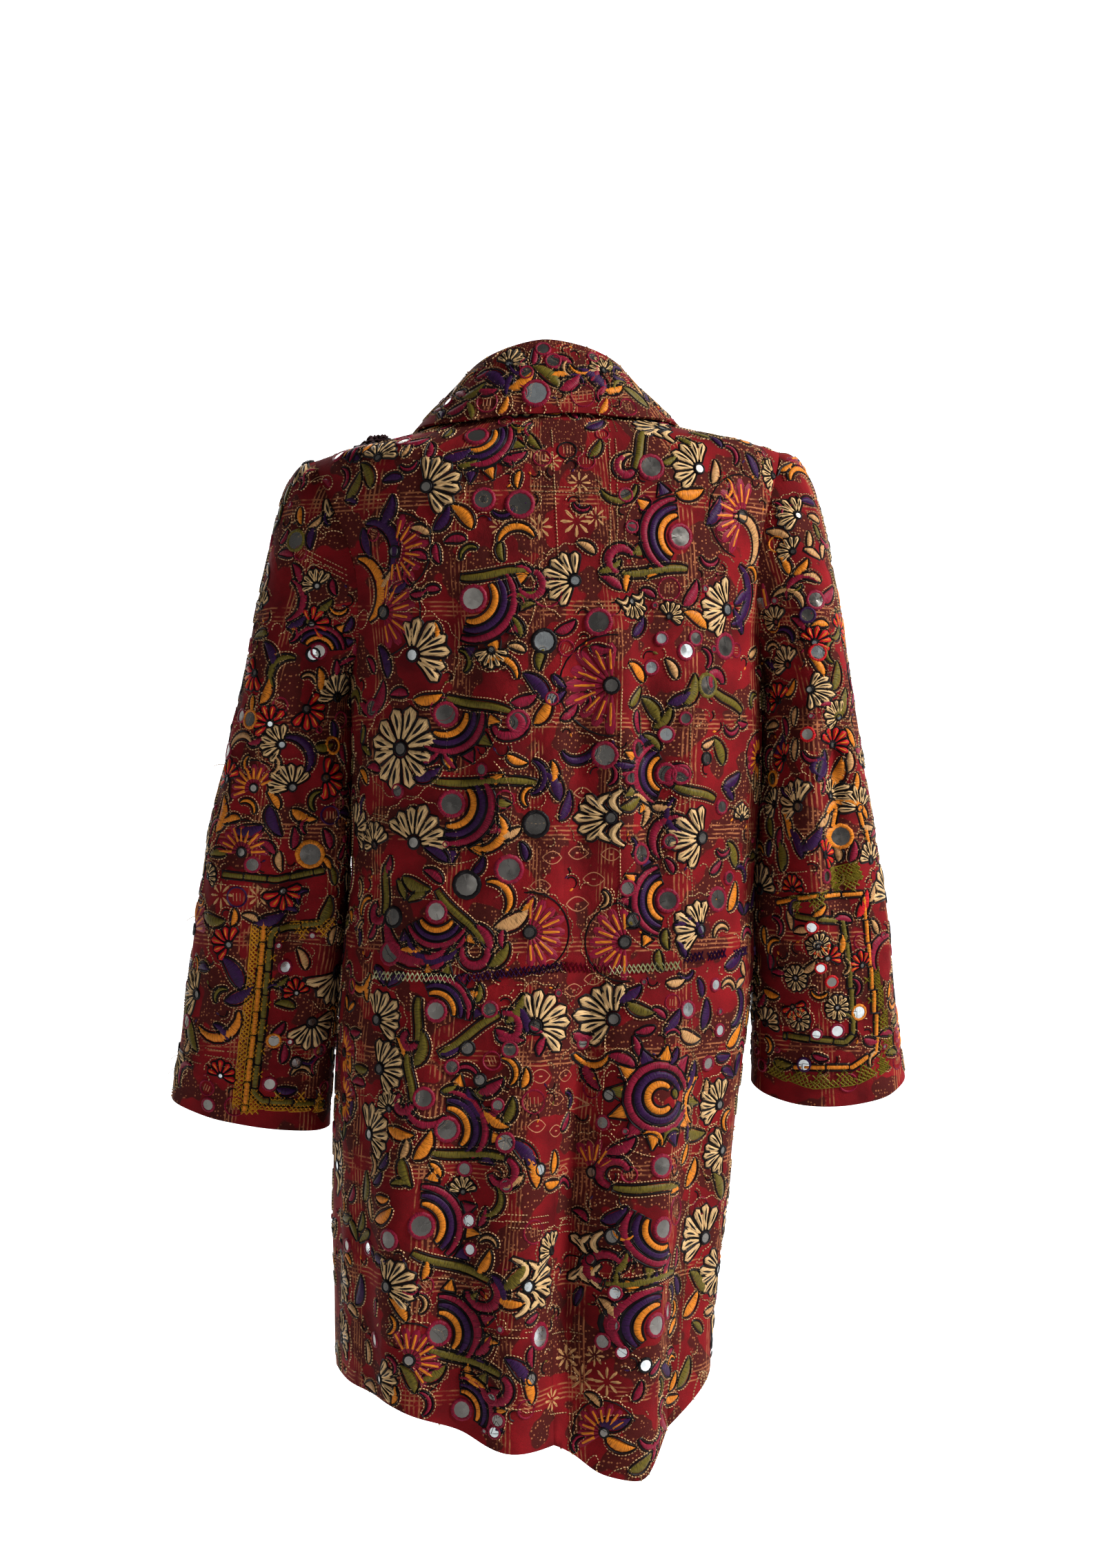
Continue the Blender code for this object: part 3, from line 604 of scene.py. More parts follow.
LEFT_ARM_CREASES = Creases(
    (
        (180, 0, 34, 0.0062, -0.1, -0.6), (120, 10, 10, -0.01, -0.27, -0.54), (146, 8, 12, 0.005, -0.27, -0.54),
        (100, 14, 9, 0.0026, -0.27, -0.5), (118, 36, 14, -0.003, -0.16, -0.3),
        (60, -40, 12, -0.0034, -0.28, -0.42), (30, 30, 12, -0.0028, -0.36, -0.54),
        (-60, 40, 14, -0.0038, -0.24, -0.4), (-110, -28, 14, 0.003, -0.3, -0.48),
        (10, 24, 13, -0.0024, -0.16, -0.36), (176, -20, 13, -0.0024, -0.22, -0.46),
    ),
    0.0007,
)
RIGHT_ARM_CREASES = Creases(
    (
        (0, 0, 34, 0.008, -0.1, -0.58), (98, -8, 10, -0.009, -0.23, -0.46), (74, 6, 11, 0.0048, -0.22, -0.48),
        (64, -34, 12, -0.003, -0.18, -0.32), (128, 30, 12, -0.0032, -0.3, -0.46),
        (150, -26, 12, 0.0028, -0.36, -0.52), (-64, -36, 14, -0.0034, -0.24, -0.42),
        (-120, 30, 13, 0.0028, -0.32, -0.5), (6, -24, 13, -0.0024, -0.2, -0.4),
        (178, 20, 13, -0.0028, -0.18, -0.38),
    ),
    0.0007,
)
STILL = Creases((), 0.0003)


@dataclass(frozen=True)
class ClothPiece:
    """One cut piece: the solid it stands for, its flat size and area, and the tube it belongs to."""

    node: str
    flat: Pair
    area: float
    axis: Axis = BODY_AXIS
    creases: Creases = BODY_CREASES
    weld_m: float = 1e-5
    facet_angle: float = 0.7
    facet_shape: float = 1.2
    cut_edge_m: float = 0.004
    seam_reach_m: float = 0.00036

    def build(self, cloth: Material) -> Object:
        """Builds the fine shell on the solid's form.

        Args:
            cloth: The cloth's material.

        Returns:
            The shell, riding on the coat.
        """
        name = "shell_" + self.node
        bm = bmesh.new()
        bm.from_mesh(bpy.data.objects[self.node].data)
        bmesh.ops.remove_doubles(bm, verts=bm.verts, dist=self.weld_m)
        bmesh.ops.join_triangles(
            bm, faces=bm.faces, angle_face_threshold=self.facet_angle, angle_shape_threshold=self.facet_shape
        )
        rim = bm.edges.layers.float.new("crease_edge")
        for edge in bm.edges:
            if len(edge.link_faces) == 2 and edge.calc_face_angle(0.0) > CLOTH_EDGE:
                edge[rim] = 1.0
        self.reach_seams(bm, rim)
        mesh = bpy.data.meshes.new(name)
        bm.to_mesh(mesh)
        bm.free()
        shell = link(name, mesh)
        finer = shell.modifiers.new("finer", "SUBSURF")
        finer.levels = finer.render_levels = 2
        fine = bpy.data.meshes.new_from_object(shell.evaluated_get(bpy.context.evaluated_depsgraph_get()))
        shell.modifiers.clear()
        shell.data = fine
        self.shape(fine)
        fine.materials.clear()
        fine.materials.append(cloth)
        fine.shade_smooth()
        fine.set_sharp_from_angle(angle=CLOTH_EDGE)
        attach(shell, "root")
        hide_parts(self.node)
        return shell

    def reach_seams(self, bm: bmesh.types.BMesh, rim: bmesh.types.BMLayerItem) -> None:
        """Moves the cut edges outwards until neighbouring pieces meet at their seams.

        Args:
            bm: The shell's mesh.
            rim: The layer that marks its sharp edges.
        """
        moves: Dict[bmesh.types.BMVert, Vector] = {}
        for face in bm.faces:
            sharp = [edge for edge in face.edges if edge[rim] > 0.5]
            if len(sharp) >= 2 and min(edge.calc_length() for edge in face.edges) < self.cut_edge_m:
                for vert in face.verts:
                    moves[vert] = moves.get(vert, Vector()) + face.normal
        for vert, move in moves.items():
            if move.length > 0.1:
                vert.co += move.normalized() * self.seam_reach_m

    def shape(self, mesh: Mesh) -> None:
        """Creases the shell and gives it flat coordinates in metres.

        Args:
            mesh: The shell's mesh.
        """
        points = np.zeros(len(mesh.vertices) * 3)
        mesh.vertices.foreach_get("co", points)
        points = points.reshape(-1, 3)
        turn, away = self.axis.around(points)
        points = points + away * self.creases.depth(turn, points[:, 2])[:, None]
        mesh.vertices.foreach_set("co", points.ravel())
        mean = math.atan2(np.sin(turn).mean(), np.cos(turn).mean())
        turn = (turn - mean + math.pi) % (2 * math.pi) - math.pi + mean
        reach = np.linalg.norm(points[:, :2], axis=1) if self.axis is COLLAR_AXIS else 0.0
        set_flats(mesh, np.stack([turn * self.axis.radius, points[:, 2] - reach], axis=-1))


@dataclass
class CoatShell:
    """The coat's cloth: body panels, sleeves, collar and lapels."""

    finish: PrintedCotton = PrintedCotton()
    pieces: Tuple[ClothPiece, ...] = (
        ClothPiece("back_upper_left", (0.235, 0.500), 0.095),
        ClothPiece("back_upper_right", (0.225, 0.495), 0.092),
        ClothPiece("side_upper_left", (0.150, 0.300), 0.03),
        ClothPiece("side_upper_right", (0.180, 0.300), 0.037),
        ClothPiece("front_upper_left", (0.255, 0.490), 0.089),
        ClothPiece("front_upper_right", (0.285, 0.490), 0.09),
        ClothPiece("back_lower_left", (0.190, 0.400), 0.058),
        ClothPiece("back_lower_right", (0.140, 0.430), 0.048),
        ClothPiece("side_lower_left", (0.160, 0.365), 0.045),
        ClothPiece("side_lower_right", (0.210, 0.405), 0.067),
        ClothPiece("front_lower_left", (0.235, 0.380), 0.08),
        ClothPiece("front_lower_right", (0.265, 0.385), 0.08),
        ClothPiece("sleeve_left", (0.450, 0.640), 0.18, LEFT_ARM, LEFT_ARM_CREASES),
        ClothPiece("sleeve_right", (0.430, 0.620), 0.168, RIGHT_ARM, RIGHT_ARM_CREASES),
        ClothPiece("collar", (0.430, 0.130), 0.037, COLLAR_AXIS, STILL),
        ClothPiece("lapel_left", (0.090, 0.250), 0.0155, BODY_AXIS, STILL),
        ClothPiece("lapel_right", (0.100, 0.290), 0.0165, BODY_AXIS, STILL),
    )
    shells: Dict[str, Object] = field(default_factory=dict)

    def build(self) -> Dict[str, Object]:
        """Builds every shell and returns them by their solid's name."""
        cloth = self.finish.material()
        for piece in self.pieces:
            self.shells[piece.node] = piece.build(cloth)
            LOG.info("cloth piece %s: %d faces", piece.node, len(self.shells[piece.node].data.polygons))
        return self.shells


class Ground:
    """The outside of a group of shells, which needlework is laid on."""

    OUTSIDE = 0.12  # the least share of a face's normal that looks outwards
    CAST_FROM_M = 0.03
    CAST_REACH_M = 0.07

    def __init__(self, shells: Sequence[Object], axis: Axis) -> None:
        """Joins the shells' faces into one search tree.

        Args:
            shells: The shells.
            axis: The tube's middle line.
        """
        self.axis = axis
        points: List[Vector] = []
        faces: List[Face] = []
        self.owners: List[str] = []
        for shell in shells:
            start = len(points)
            points += [vertex.co.copy() for vertex in shell.data.vertices]
            faces += [tuple(start + i for i in face.vertices) for face in shell.data.polygons]
            self.owners += [shell.name.replace("shell_", "")] * len(shell.data.polygons)
        self.tree = BVHTree.FromPolygons(points, faces)
        middles = np.array([sum((points[i] for i in face), Vector()) / len(face) for face in faces])
        normals = np.array([
            (points[f[1]] - points[f[0]]).cross(points[f[2]] - points[f[0]]).normalized() for f in faces
        ])
        _, away = axis.around(middles)
        outside = (normals * away).sum(axis=1) > self.OUTSIDE
        self.spots = middles[outside]
        self.facing = normals[outside]
        self.panels = [self.owners[index] for index in np.flatnonzero(outside)]

    def hit(self, origin: Vector, way: Vector, reach: float) -> Optional[Landing]:
        """The first landing on the cloth along a ray.

        Args:
            origin: The ray's start.
            way: Its direction.
            reach: Its length in metres.

        Returns:
            The landing, or nothing.
        """
        spot, normal, index, _ = self.tree.ray_cast(origin, way, reach)
        if spot is None:
            return None
        return spot, normal if normal.dot(way) < 0 else -normal, self.owners[index]

    def under(self, spot: Vector, out: Vector) -> Optional[Landing]:
        """The landing on the cloth under a point of a motif's plane."""
        return self.hit(spot + out * self.CAST_FROM_M, -out, self.CAST_REACH_M)


@dataclass
class Strip:
    """A domed patch of thread along a line, in a motif's own flat metres."""

    line: np.ndarray
    half: np.ndarray
    finish: Enum
    dome: float = 0.0009
    lift: float = 0.0
    grain: Grain = Grain.ALONG
    closed: bool = False
    columns: int = 5


def cord(line: np.ndarray, half: float, colour: Enum, dome: float, lift: float = 0.0) -> Strip:
    """A thread of even width along a line."""
    return Strip(line, np.full(len(line), half), colour, dome, lift, columns=3)


def arc(radius: float, start: float, end: float, count: int, centre: Pair = (0.0, 0.0)) -> np.ndarray:
    """Points of an arc, its angles in degrees clockwise from up.

    Args:
        radius: Its radius.
        start: The first angle.
        end: The last angle.
        count: How many points.
        centre: Its middle.

    Returns:
        The points.
    """
    turn = np.radians(np.linspace(start, end, count))
    return np.stack([centre[0] + radius * np.sin(turn), centre[1] + radius * np.cos(turn)], axis=-1)


def ray(turn: float, radii: Sequence[float]) -> np.ndarray:
    """Points in one direction from a middle, at given distances."""
    return np.array([arc(radius, turn, turn, 1)[0] for radius in radii])


def sides_of(line: np.ndarray, closed: bool = False) -> np.ndarray:
    """Unit directions to the left of a line at each of its points.

    Args:
        line: The line's points.
        closed: Whether its end meets its start.

    Returns:
        A direction for each point.
    """
    if closed:
        run = np.roll(line, -1, axis=0) - np.roll(line, 1, axis=0)
    else:
        run = np.gradient(line, axis=0)
    run /= np.maximum(np.linalg.norm(run, axis=1, keepdims=True), 1e-9)
    return np.stack([-run[:, 1], run[:, 0]], axis=-1)


def edge_of(strip: Strip, gap: float) -> np.ndarray:
    """The closed line round a strip, a gap outside it.

    Args:
        strip: The strip.
        gap: The gap in metres.

    Returns:
        The line's points.
    """
    side = sides_of(strip.line)
    reach = (strip.half + gap)[:, None]
    return np.vstack([strip.line + side * reach, (strip.line - side * reach)[::-1]])


@dataclass
class MotifBook:
    """The motifs of the needlework, each as a list of strips round its own middle.

    All lengths are in metres, and numbers that a motif multiplies by its size are its proportions. Couched,
    satin and printed are heights of thread over the cloth.
    """

    outline_half: float = 0.00105
    stitch_pitch: float = 0.0027
    stitch_length: float = 0.0015
    stitch_half: float = 0.00054
    halo_gap: float = 0.0027
    couched: float = 0.0008
    flat_satin: float = 0.0009
    satin: float = 0.0012
    full_satin: float = 0.0013
    printed: float = 0.0001
    over: float = 0.0002
    chance: random.Random = field(default_factory=lambda: random.Random(7))

    def outlined(self, strip: Strip, colour: Thread = BLACK, is_stitched: bool = False) -> List[Strip]:
        """A strip with a couched line round it.

        Args:
            strip: The strip.
            colour: The couched line's thread.
            is_stitched: Whether a running stitch follows outside the line.

        Returns:
            The couched line, the strip and the stitches.
        """
        edge = edge_of(strip, self.outline_half * 0.7)
        rim = cord(edge, self.outline_half, colour, self.couched, 0.0003)
        rim.closed = True
        halo = edge_of(strip, self.halo_gap)
        return [rim, strip] + (self.stitches(np.vstack([halo, halo[:1]])) if is_stitched else [])

    def worked(
        self, line: np.ndarray, half: np.ndarray, colour: Thread, dome: float, is_stitched: bool = False
    ) -> List[Strip]:
        """An outlined strip of satin stitches that run across a line."""
        return self.outlined(Strip(line, half, colour, dome, grain=Grain.ACROSS), is_stitched=is_stitched)

    def stitches(self, line: np.ndarray) -> List[Strip]:
        """Running stitches along a line.

        Args:
            line: The line's points.

        Returns:
            The strips.
        """
        run = run_of(line)
        made = []
        for start in np.arange(0.0, run[-1] - self.stitch_length, self.stitch_pitch):
            ends = np.array([start, start + self.stitch_length + self.chance.uniform(0, 0.0003)])
            made.append(cord(points_at(line, run, ends), self.stitch_half, STITCH, self.couched, self.over))
        return made

    def leaf(self, size: float, colour: Thread) -> List[Strip]:
        """A satin leaf, a little bent, its length twice the size.

        Args:
            size: Half its length.
            colour: Its thread.

        Returns:
            The strips.
        """
        t = np.linspace(-1.0, 1.0, 8)
        line = np.stack([0.25 * size * (1 - t * t), t * size], axis=-1)
        half = 0.37 * size * np.clip(1 - t**2, 0.0, 1.0) ** 0.8 * (1 - 0.25 * t)
        return self.worked(line, half, colour, self.satin, True)

    def crescent(self, size: float, colour: Thread) -> List[Strip]:
        """A band bent to an arc, with pointed ends."""
        half = 0.2 * size * swell(np.linspace(0.0, 1.0, 10), 0.02, 0.98, 0.6)
        return self.worked(arc(size, -75.0, 75.0, 10), half, colour, self.satin, True)

    def glass(self, size: float, rim: Thread = WINE, kind: Mirror = GREY) -> List[Strip]:
        """A round mirror in a thread rim.

        Args:
            size: Its radius.
            rim: The rim's thread.
            kind: The glass.

        Returns:
            The strips.
        """
        reach = np.full(12, 0.17 * size + 0.0005)
        made = [Strip(arc(size * 1.04, 0, 330, 12), reach, rim, self.full_satin, self.over, Grain.ACROSS, True)]
        disc = cord(arc(size * 0.47, 0, 330, 12), size * 0.46, kind, 0.0, 0.0008)
        disc.closed = True
        return made + [disc]

    def fan(self, size: float, colour: Thread = CREAM, petals: int = 7, spread: float = 150.0) -> List[Strip]:
        """A fan of satin petals with dark slits, round a small mirror at its foot.

        Args:
            size: Its radius.
            colour: The petals' thread.
            petals: Their number.
            spread: Their angle in degrees.

        Returns:
            The strips.
        """
        made = []
        step = spread / max(petals - 1, 1)
        t = np.linspace(0.0, 1.0, 8)
        edge = BLACK if colour is not WINE else PURPLE
        slit = BLACK if colour in (CREAM, TAN) else ORANGE
        for number in range(petals):
            turn = math.radians(-spread / 2 + step * number)
            way = np.array([math.sin(turn), math.cos(turn)])
            reach = size * (1.0 - 0.10 * abs(math.sin(turn)) + self.chance.uniform(-0.05, 0.05))
            side = np.array([way[1], -way[0]])
            sway = self.chance.uniform(-0.05, 0.05) * size
            line = way * (size * 0.22 + (reach - size * 0.22) * t)[:, None]
            line = line + side * (sway * np.sin(math.pi * t))[:, None]
            widest = reach * math.tan(math.radians(min(step, 30.0) / 2)) * 0.97
            half = widest * (0.20 + 0.80 * t) * np.sqrt(np.clip(1 - t**6, 0.0, 1.0))
            made += self.outlined(Strip(line, half, colour, self.full_satin), edge)
            slit_half = widest * np.array([0.06, 0.20, 0.24, 0.20, 0.05])
            made.append(Strip(line[2:7], slit_half, slit, 0.0006, self.full_satin, columns=3))
        made += self.glass(size * 0.15, BLACK, self.chance.choice((GREY, GREY, GREY, BRIGHT)))
        return made + self.halo(size * 1.13, spread / 2 + 8.0, petals)

    def halo(self, radius: float, half_span: float, bows: int) -> List[Strip]:
        """Running stitches that follow a fan's scalloped edge.

        Args:
            radius: Its radius.
            half_span: Half its angle in degrees.
            bows: The number of scallops.

        Returns:
            The strips.
        """
        turn = np.linspace(-half_span, half_span, 6 * bows)
        bow = radius * (1 - 0.035 * np.cos(math.pi * (turn / half_span) * bows))
        return self.stitches(np.stack([bow * np.sin(np.radians(turn)), bow * np.cos(np.radians(turn))], axis=-1))

    def ray_fan(self, size: float) -> List[Strip]:
        """A solid wine fan with thin orange rays.

        Args:
            size: Its radius.

        Returns:
            The strips.
        """
        made = []
        half = np.linspace(0.04, 0.185, 6) * size
        half[-1] *= 0.45
        for number in range(9):
            reach = size * (0.94 + 0.06 * math.cos(number * 2.0))
            line = ray(-88.0 + 22.0 * number, np.linspace(size * 0.2, reach, 6))
            made.append(Strip(line, half, WINE, self.flat_satin))
            made.append(cord(line[1:5], 0.00125, ORANGE, 0.0007, 0.0010))
        made.append(cord(arc(size * 1.05, -98, 98, 18), 0.0011, BLACK, self.flat_satin))
        return made + self.glass(size * 0.15, BLACK) + self.halo(size * 1.14, 98.0, 9)

    def rainbow(self, size: float, span: float = 150.0) -> List[Strip]:
        """Concentric bands round a mirror, with small triangles outside.

        Args:
            size: Its radius.
            span: The bands' angle in degrees.

        Returns:
            The strips.
        """
        made = self.glass(size * 0.235)
        half_span = span / 2
        half = size * 0.088 * swell(np.linspace(0.0, 1.0, 14), 0.03, 0.97, 0.35)
        for radius, colour in ((0.45, ORANGE), (0.62, PURPLE), (0.80, WINE)):
            made += self.worked(arc(size * radius, -half_span, half_span, 14), half, colour, self.satin)
        for number, tone in enumerate((ORANGE, OLIVE, WINE, ORANGE, PURPLE)):
            made += self.tooth(size * 0.93, -half_span * 0.8 + half_span * 1.6 * number / 4, size * 0.20, tone)
        return made + self.stitches(arc(size * 1.20, -half_span, half_span, 20))

    def tooth(self, radius: float, turn: float, size: float, colour: Thread) -> List[Strip]:
        """A small triangle that points away from a middle."""
        line = ray(turn, [radius + size * part for part in (0.0, 0.35, 0.7, 1.05, 1.4)])
        return self.outlined(Strip(line, size * np.array([0.80, 0.62, 0.42, 0.2, 0.03]), colour, self.flat_satin))

    def bar(self, size: float) -> List[Strip]:
        """A long olive bar with a curled wine hook at its end.

        Args:
            size: Half its length.

        Returns:
            The strips.
        """
        t = np.linspace(-1.0, 1.0, 12)
        line = np.stack([t * size, 0.10 * size * np.sin(2.2 * t)], axis=-1)
        half = 0.0033 * (1 - 0.35 * np.abs(t) ** 4)
        made = self.worked(line, half, OLIVE, self.full_satin, True)
        curl = arc(size * 0.36, 10, 250, 13, (line[-1][0], line[-1][1] - size * 0.36))
        taper = 0.0040 * swell(np.linspace(0.12, 0.92, 13), 0.0, 1.0, 0.5)
        return made + self.worked(curl, taper, WINE, self.full_satin, True)

    def scroll(self, size: float) -> List[Strip]:
        """A cream flower of curling petals on both sides of a stem.

        Args:
            size: Its radius.

        Returns:
            The strips.
        """
        made = self.fan(size, CREAM, 5, 84.0)
        turn = np.linspace(0.0, 1.0, 9)
        half = size * 0.085 * (0.35 + np.sin(math.pi * np.clip(turn, 0.05, 0.95)))
        for way in (-1.0, 1.0):
            for reach, rise in ((0.52, 0.06), (0.66, -0.30)):
                x = way * size * (0.12 + reach * turn)
                y = size * (rise + 0.42 * np.sin(turn * 2.6) - 0.28 * turn)
                made += self.outlined(Strip(np.stack([x, y], axis=-1), half, CREAM, self.satin))
        return made

    def sun(self, size: float) -> List[Strip]:
        """Three rings that open on the right, with triangles all round.

        Args:
            size: Its radius.

        Returns:
            The strips.
        """
        made = []
        tones = (ORANGE, WINE, ORANGE, OLIVE, ORANGE, PURPLE)
        for number in range(12):
            made += self.tooth(size * 0.80, 10 + number * 30, size * 0.26, tones[number % 6])
        half = size * 0.095 * swell(np.linspace(0.05, 0.95, 22), 0.0, 1.0, 0.35)
        for radius, start, colour in ((0.30, 132, ORANGE), (0.51, 104, PURPLE), (0.72, 100, WINE)):
            made += self.worked(arc(size * radius, start, 540 - start, 22), half, colour, self.full_satin)
        bud_half = size * np.array([0.02, 0.07, 0.08, 0.06, 0.02])
        made += self.outlined(Strip(arc(size * 0.30, 62, 96, 5) * 1.25, bud_half, OLIVE, 0.0014))
        return made + self.stitches(arc(size * 1.30, 20, 350, 40))

    def eye(self, size: float) -> List[Strip]:
        """A printed eye: a thin outline with a dot.

        Args:
            size: Half its width.

        Returns:
            The strips.
        """
        made = []
        t = np.linspace(-1.0, 1.0, 9)
        for way in (-1.0, 1.0):
            line = np.stack([t * size, way * 0.62 * size * (1 - t * t)], axis=-1)
            made.append(cord(line, 0.0007, PRINT, self.printed, self.over))
        dot = np.array([[-0.16, 0.0], [0.16, 0.0]]) * size
        return made + [cord(dot, size * 0.13, PRINT, self.printed, self.over)]

    def rosette(self, size: float) -> List[Strip]:
        """A small printed rosette of tan petals.

        Args:
            size: Its radius.

        Returns:
            The strips.
        """
        half = size * np.array([0.05, 0.14, 0.18, 0.06])
        radii = [size * part for part in (0.25, 0.5, 0.8, 1.0)]
        return [Strip(ray(45.0 * number, radii), half, TAN, self.printed, self.over, columns=3) for number in range(8)]

    def ring(self, size: float, colour: Thread = WINE) -> List[Strip]:
        """A stitched ring with a small printed cross inside.

        Args:
            size: Its radius.
            colour: Its thread.

        Returns:
            The strips.
        """
        made = [Strip(arc(size, 0, 340, 18), np.full(18, 0.0012), colour, 0.0010, 0.0, Grain.ACROSS, True, 3)]
        for x in (-0.35 * size, 0.0, 0.35 * size):
            line = np.array([[x, -0.4 * size], [x, 0.4 * size]])
            made.append(cord(line, 0.0006, PRINT, self.printed, self.over))
        return made

    def vee(self, size: float, colour: Thread) -> List[Strip]:
        """Two leaves that spread from one foot.

        Args:
            size: Its height, about.
            colour: Its thread.

        Returns:
            The strips.
        """
        made = []
        t = np.linspace(0.0, 1.0, 9)
        half = size * 0.19 * swell(t, 0.04, 0.97, 0.8)
        for way in (-1.0, 1.0):
            x = way * size * (0.08 + 0.70 * t)
            y = size * (1.0 * t - 0.35 * t * t)
            made += self.worked(np.stack([x, y], axis=-1), half, colour, 0.0011)
        return made

    def sprig(self, size: float) -> List[Strip]:
        """A curl of running stitches."""
        turn = self.chance.uniform(60.0, 200.0)
        return self.stitches(arc(size, 0.0, turn, 14) - np.array([0.0, size]))

    def tendril(self, size: float) -> List[Strip]:
        """A dark couched curl with a bud at its end and running stitches beside it.

        Args:
            size: Its radius.

        Returns:
            The strips.
        """
        turn = self.chance.uniform(110.0, 220.0)
        line = arc(size, 0.0, turn, 9) - np.array([0.0, size])
        curl = Strip(line, 0.0009 * np.linspace(1.0, 0.6, 9), BLACK, self.couched, self.over, columns=3)
        tone = self.chance.choice((WINE, OLIVE, ORANGE, PURPLE))
        onward = (line[-1] - line[-2]) / np.linalg.norm(line[-1] - line[-2])
        stem = line[-1] + onward * size * np.array([[0.0], [0.4], [0.8]])
        bud = Strip(stem, size * np.array([0.10, 0.26, 0.05]), tone, 0.0010)
        return [curl, bud] + self.stitches(arc(size * 1.5, 10.0, turn * 0.8, 12) - np.array([0.0, size]))


@dataclass
class Patch:
    """The needlework of one panel: its points, flat coordinates, faces and material slots."""

    points: List[Vector] = field(default_factory=list)
    flats: List[Pair] = field(default_factory=list)
    faces: List[Face] = field(default_factory=list)
    slots: List[int] = field(default_factory=list)


@dataclass(frozen=True)
class Hoop:
    """The plane a motif is drawn in: its middle, the direction outwards and its own two directions."""

    middle: Vector
    out: Vector
    across: Vector
    along: Vector

    def spot(self, x: float, y: float) -> Vector:
        """The plane's point at flat coordinates."""
        return self.middle + self.across * x + self.along * y


class Needlework:
    """Collects the strips laid on one ground, and makes them one mesh for each panel."""

    END_SHARE = 0.35  # of a strip's dome that is left at its two ends
    EDGE_SINK_M = 0.0004
    STEEPEST = 0.15  # the least share of the cloth's direction that faces a motif's plane
    STEEPEST_STITCH = 0.3
    FLAT_SHIFT = (0.00137, 0.31)  # moves each strip's flat coordinates, so that its strands differ

    def __init__(self, ground: Ground, finishes: Dict[Enum, Material]) -> None:
        """Starts empty.

        Args:
            ground: The cloth that is worked on.
            finishes: The materials of the threads and mirrors.
        """
        self.ground = ground
        self.finishes = finishes
        self.order = list(finishes)
        self.patches: Dict[str, Patch] = {}
        self.taken = np.zeros((0, 4))

    def lay(self, strips: Sequence[Strip], found: Landing, turn: float, size: float) -> None:
        """Lays a motif on the cloth.

        Args:
            strips: The motif.
            found: Where the motif's middle lands.
            turn: How far the motif is turned, in degrees clockwise as seen from outside.
            size: The motif's radius, which keeps later fill away.
        """
        middle, out, panel = found
        patch = self.patches.setdefault(panel, Patch())
        right = Vector((0, 0, 1)).cross(out).normalized()
        top = out.cross(right).normalized()
        cos, sin = math.cos(math.radians(turn)), math.sin(math.radians(turn))
        hoop = Hoop(middle, out, right * cos - top * sin, right * sin + top * cos)
        self.taken = np.vstack([self.taken, (*middle, size)])
        for strip in strips:
            self.lay_strip(patch, strip, hoop)

    def lay_strip(self, patch: Patch, strip: Strip, hoop: Hoop) -> None:
        """Lays one strip, or nothing where the cloth doesn't lie under all of it.

        Args:
            patch: The panel's needlework.
            strip: The strip.
            hoop: The motif's plane.
        """
        shares = np.linspace(-1.0, 1.0, strip.columns)
        side = sides_of(strip.line, strip.closed)
        flat = strip.line[:, None, :] + side[:, None, :] * (strip.half[:, None] * shares[None, :])[..., None]
        laid = self.land(strip, flat, self.heights(strip, shares), hoop)
        if laid is None:
            return
        start = len(patch.points)
        patch.points += laid
        run = run_of(strip.line)
        rows, columns = flat.shape[:2]
        shift = start * self.FLAT_SHIFT[0]
        for row in range(rows):
            for column in range(columns):
                spread = float(shares[column] * strip.half[row])
                pair = (float(run[row]), spread) if strip.grain is Grain.ALONG else (spread, float(run[row]))
                patch.flats.append((pair[0] + shift, pair[1] + shift * self.FLAT_SHIFT[1]))
        slot = self.order.index(strip.finish)
        for row in range(rows if strip.closed else rows - 1):
            after = (row + 1) % rows
            for column in range(columns - 1):
                low, high = start + row * columns + column, start + after * columns + column
                patch.faces.append((low, high, high + 1, low + 1))
                patch.slots.append(slot)

    def heights(self, strip: Strip, shares: np.ndarray) -> np.ndarray:
        """How far each point of a strip is lifted. Its long edges are pressed into the cloth.

        Args:
            strip: The strip.
            shares: Where its columns lie across it, from -1 to 1.

        Returns:
            Metres, by row and column.
        """
        ends = np.ones(len(strip.line))
        if not strip.closed and len(strip.line) > 2:
            ends[0] = ends[-1] = self.END_SHARE
        height = strip.lift + strip.dome * np.sqrt(np.clip(1 - shares**2, 0.0, 1.0))[None, :] * ends[:, None]
        if strip.dome > 0.0:
            height[:, 0] = height[:, -1] = strip.lift - self.EDGE_SINK_M
        return height

    def land(self, strip: Strip, flat: np.ndarray, height: np.ndarray, hoop: Hoop) -> Optional[List[Vector]]:
        """Brings a strip's points down onto the cloth under them, and a short stitch in one flat piece.

        Args:
            strip: The strip.
            flat: Its points in the motif's plane, by row and column.
            height: How far each one is lifted off the cloth.
            hoop: The motif's plane.

        Returns:
            The points, or nothing if one of them misses or the cloth is too steep.
        """
        is_short = len(strip.line) == 2
        steepest = self.STEEPEST_STITCH if is_short else self.STEEPEST
        centre = hoop.spot(*strip.line.mean(axis=0).tolist())
        found = self.ground.under(centre, hoop.out) if is_short else None
        laid: List[Vector] = []
        for spots, lifts in zip(flat.tolist(), height.tolist()):
            for (x, y), lift in zip(spots, lifts):
                base = hoop.spot(x, y)
                if not is_short:
                    found = self.ground.under(base, hoop.out)
                if found is None or found[1].dot(hoop.out) < steepest:
                    return None
                spot, normal, _ = found
                if is_short:
                    offset = base - centre
                    spot = spot + offset - normal * offset.dot(normal)
                laid.append(spot + normal * lift)
        return laid

    def is_free(self, place: Sequence[float], size: float, closeness: float) -> bool:
        """Whether a motif of a size fits beside those already laid."""
        apart = np.linalg.norm(self.taken[:, :3] - np.array(place), axis=1)
        return bool((apart > (self.taken[:, 3] + size) * closeness).all())

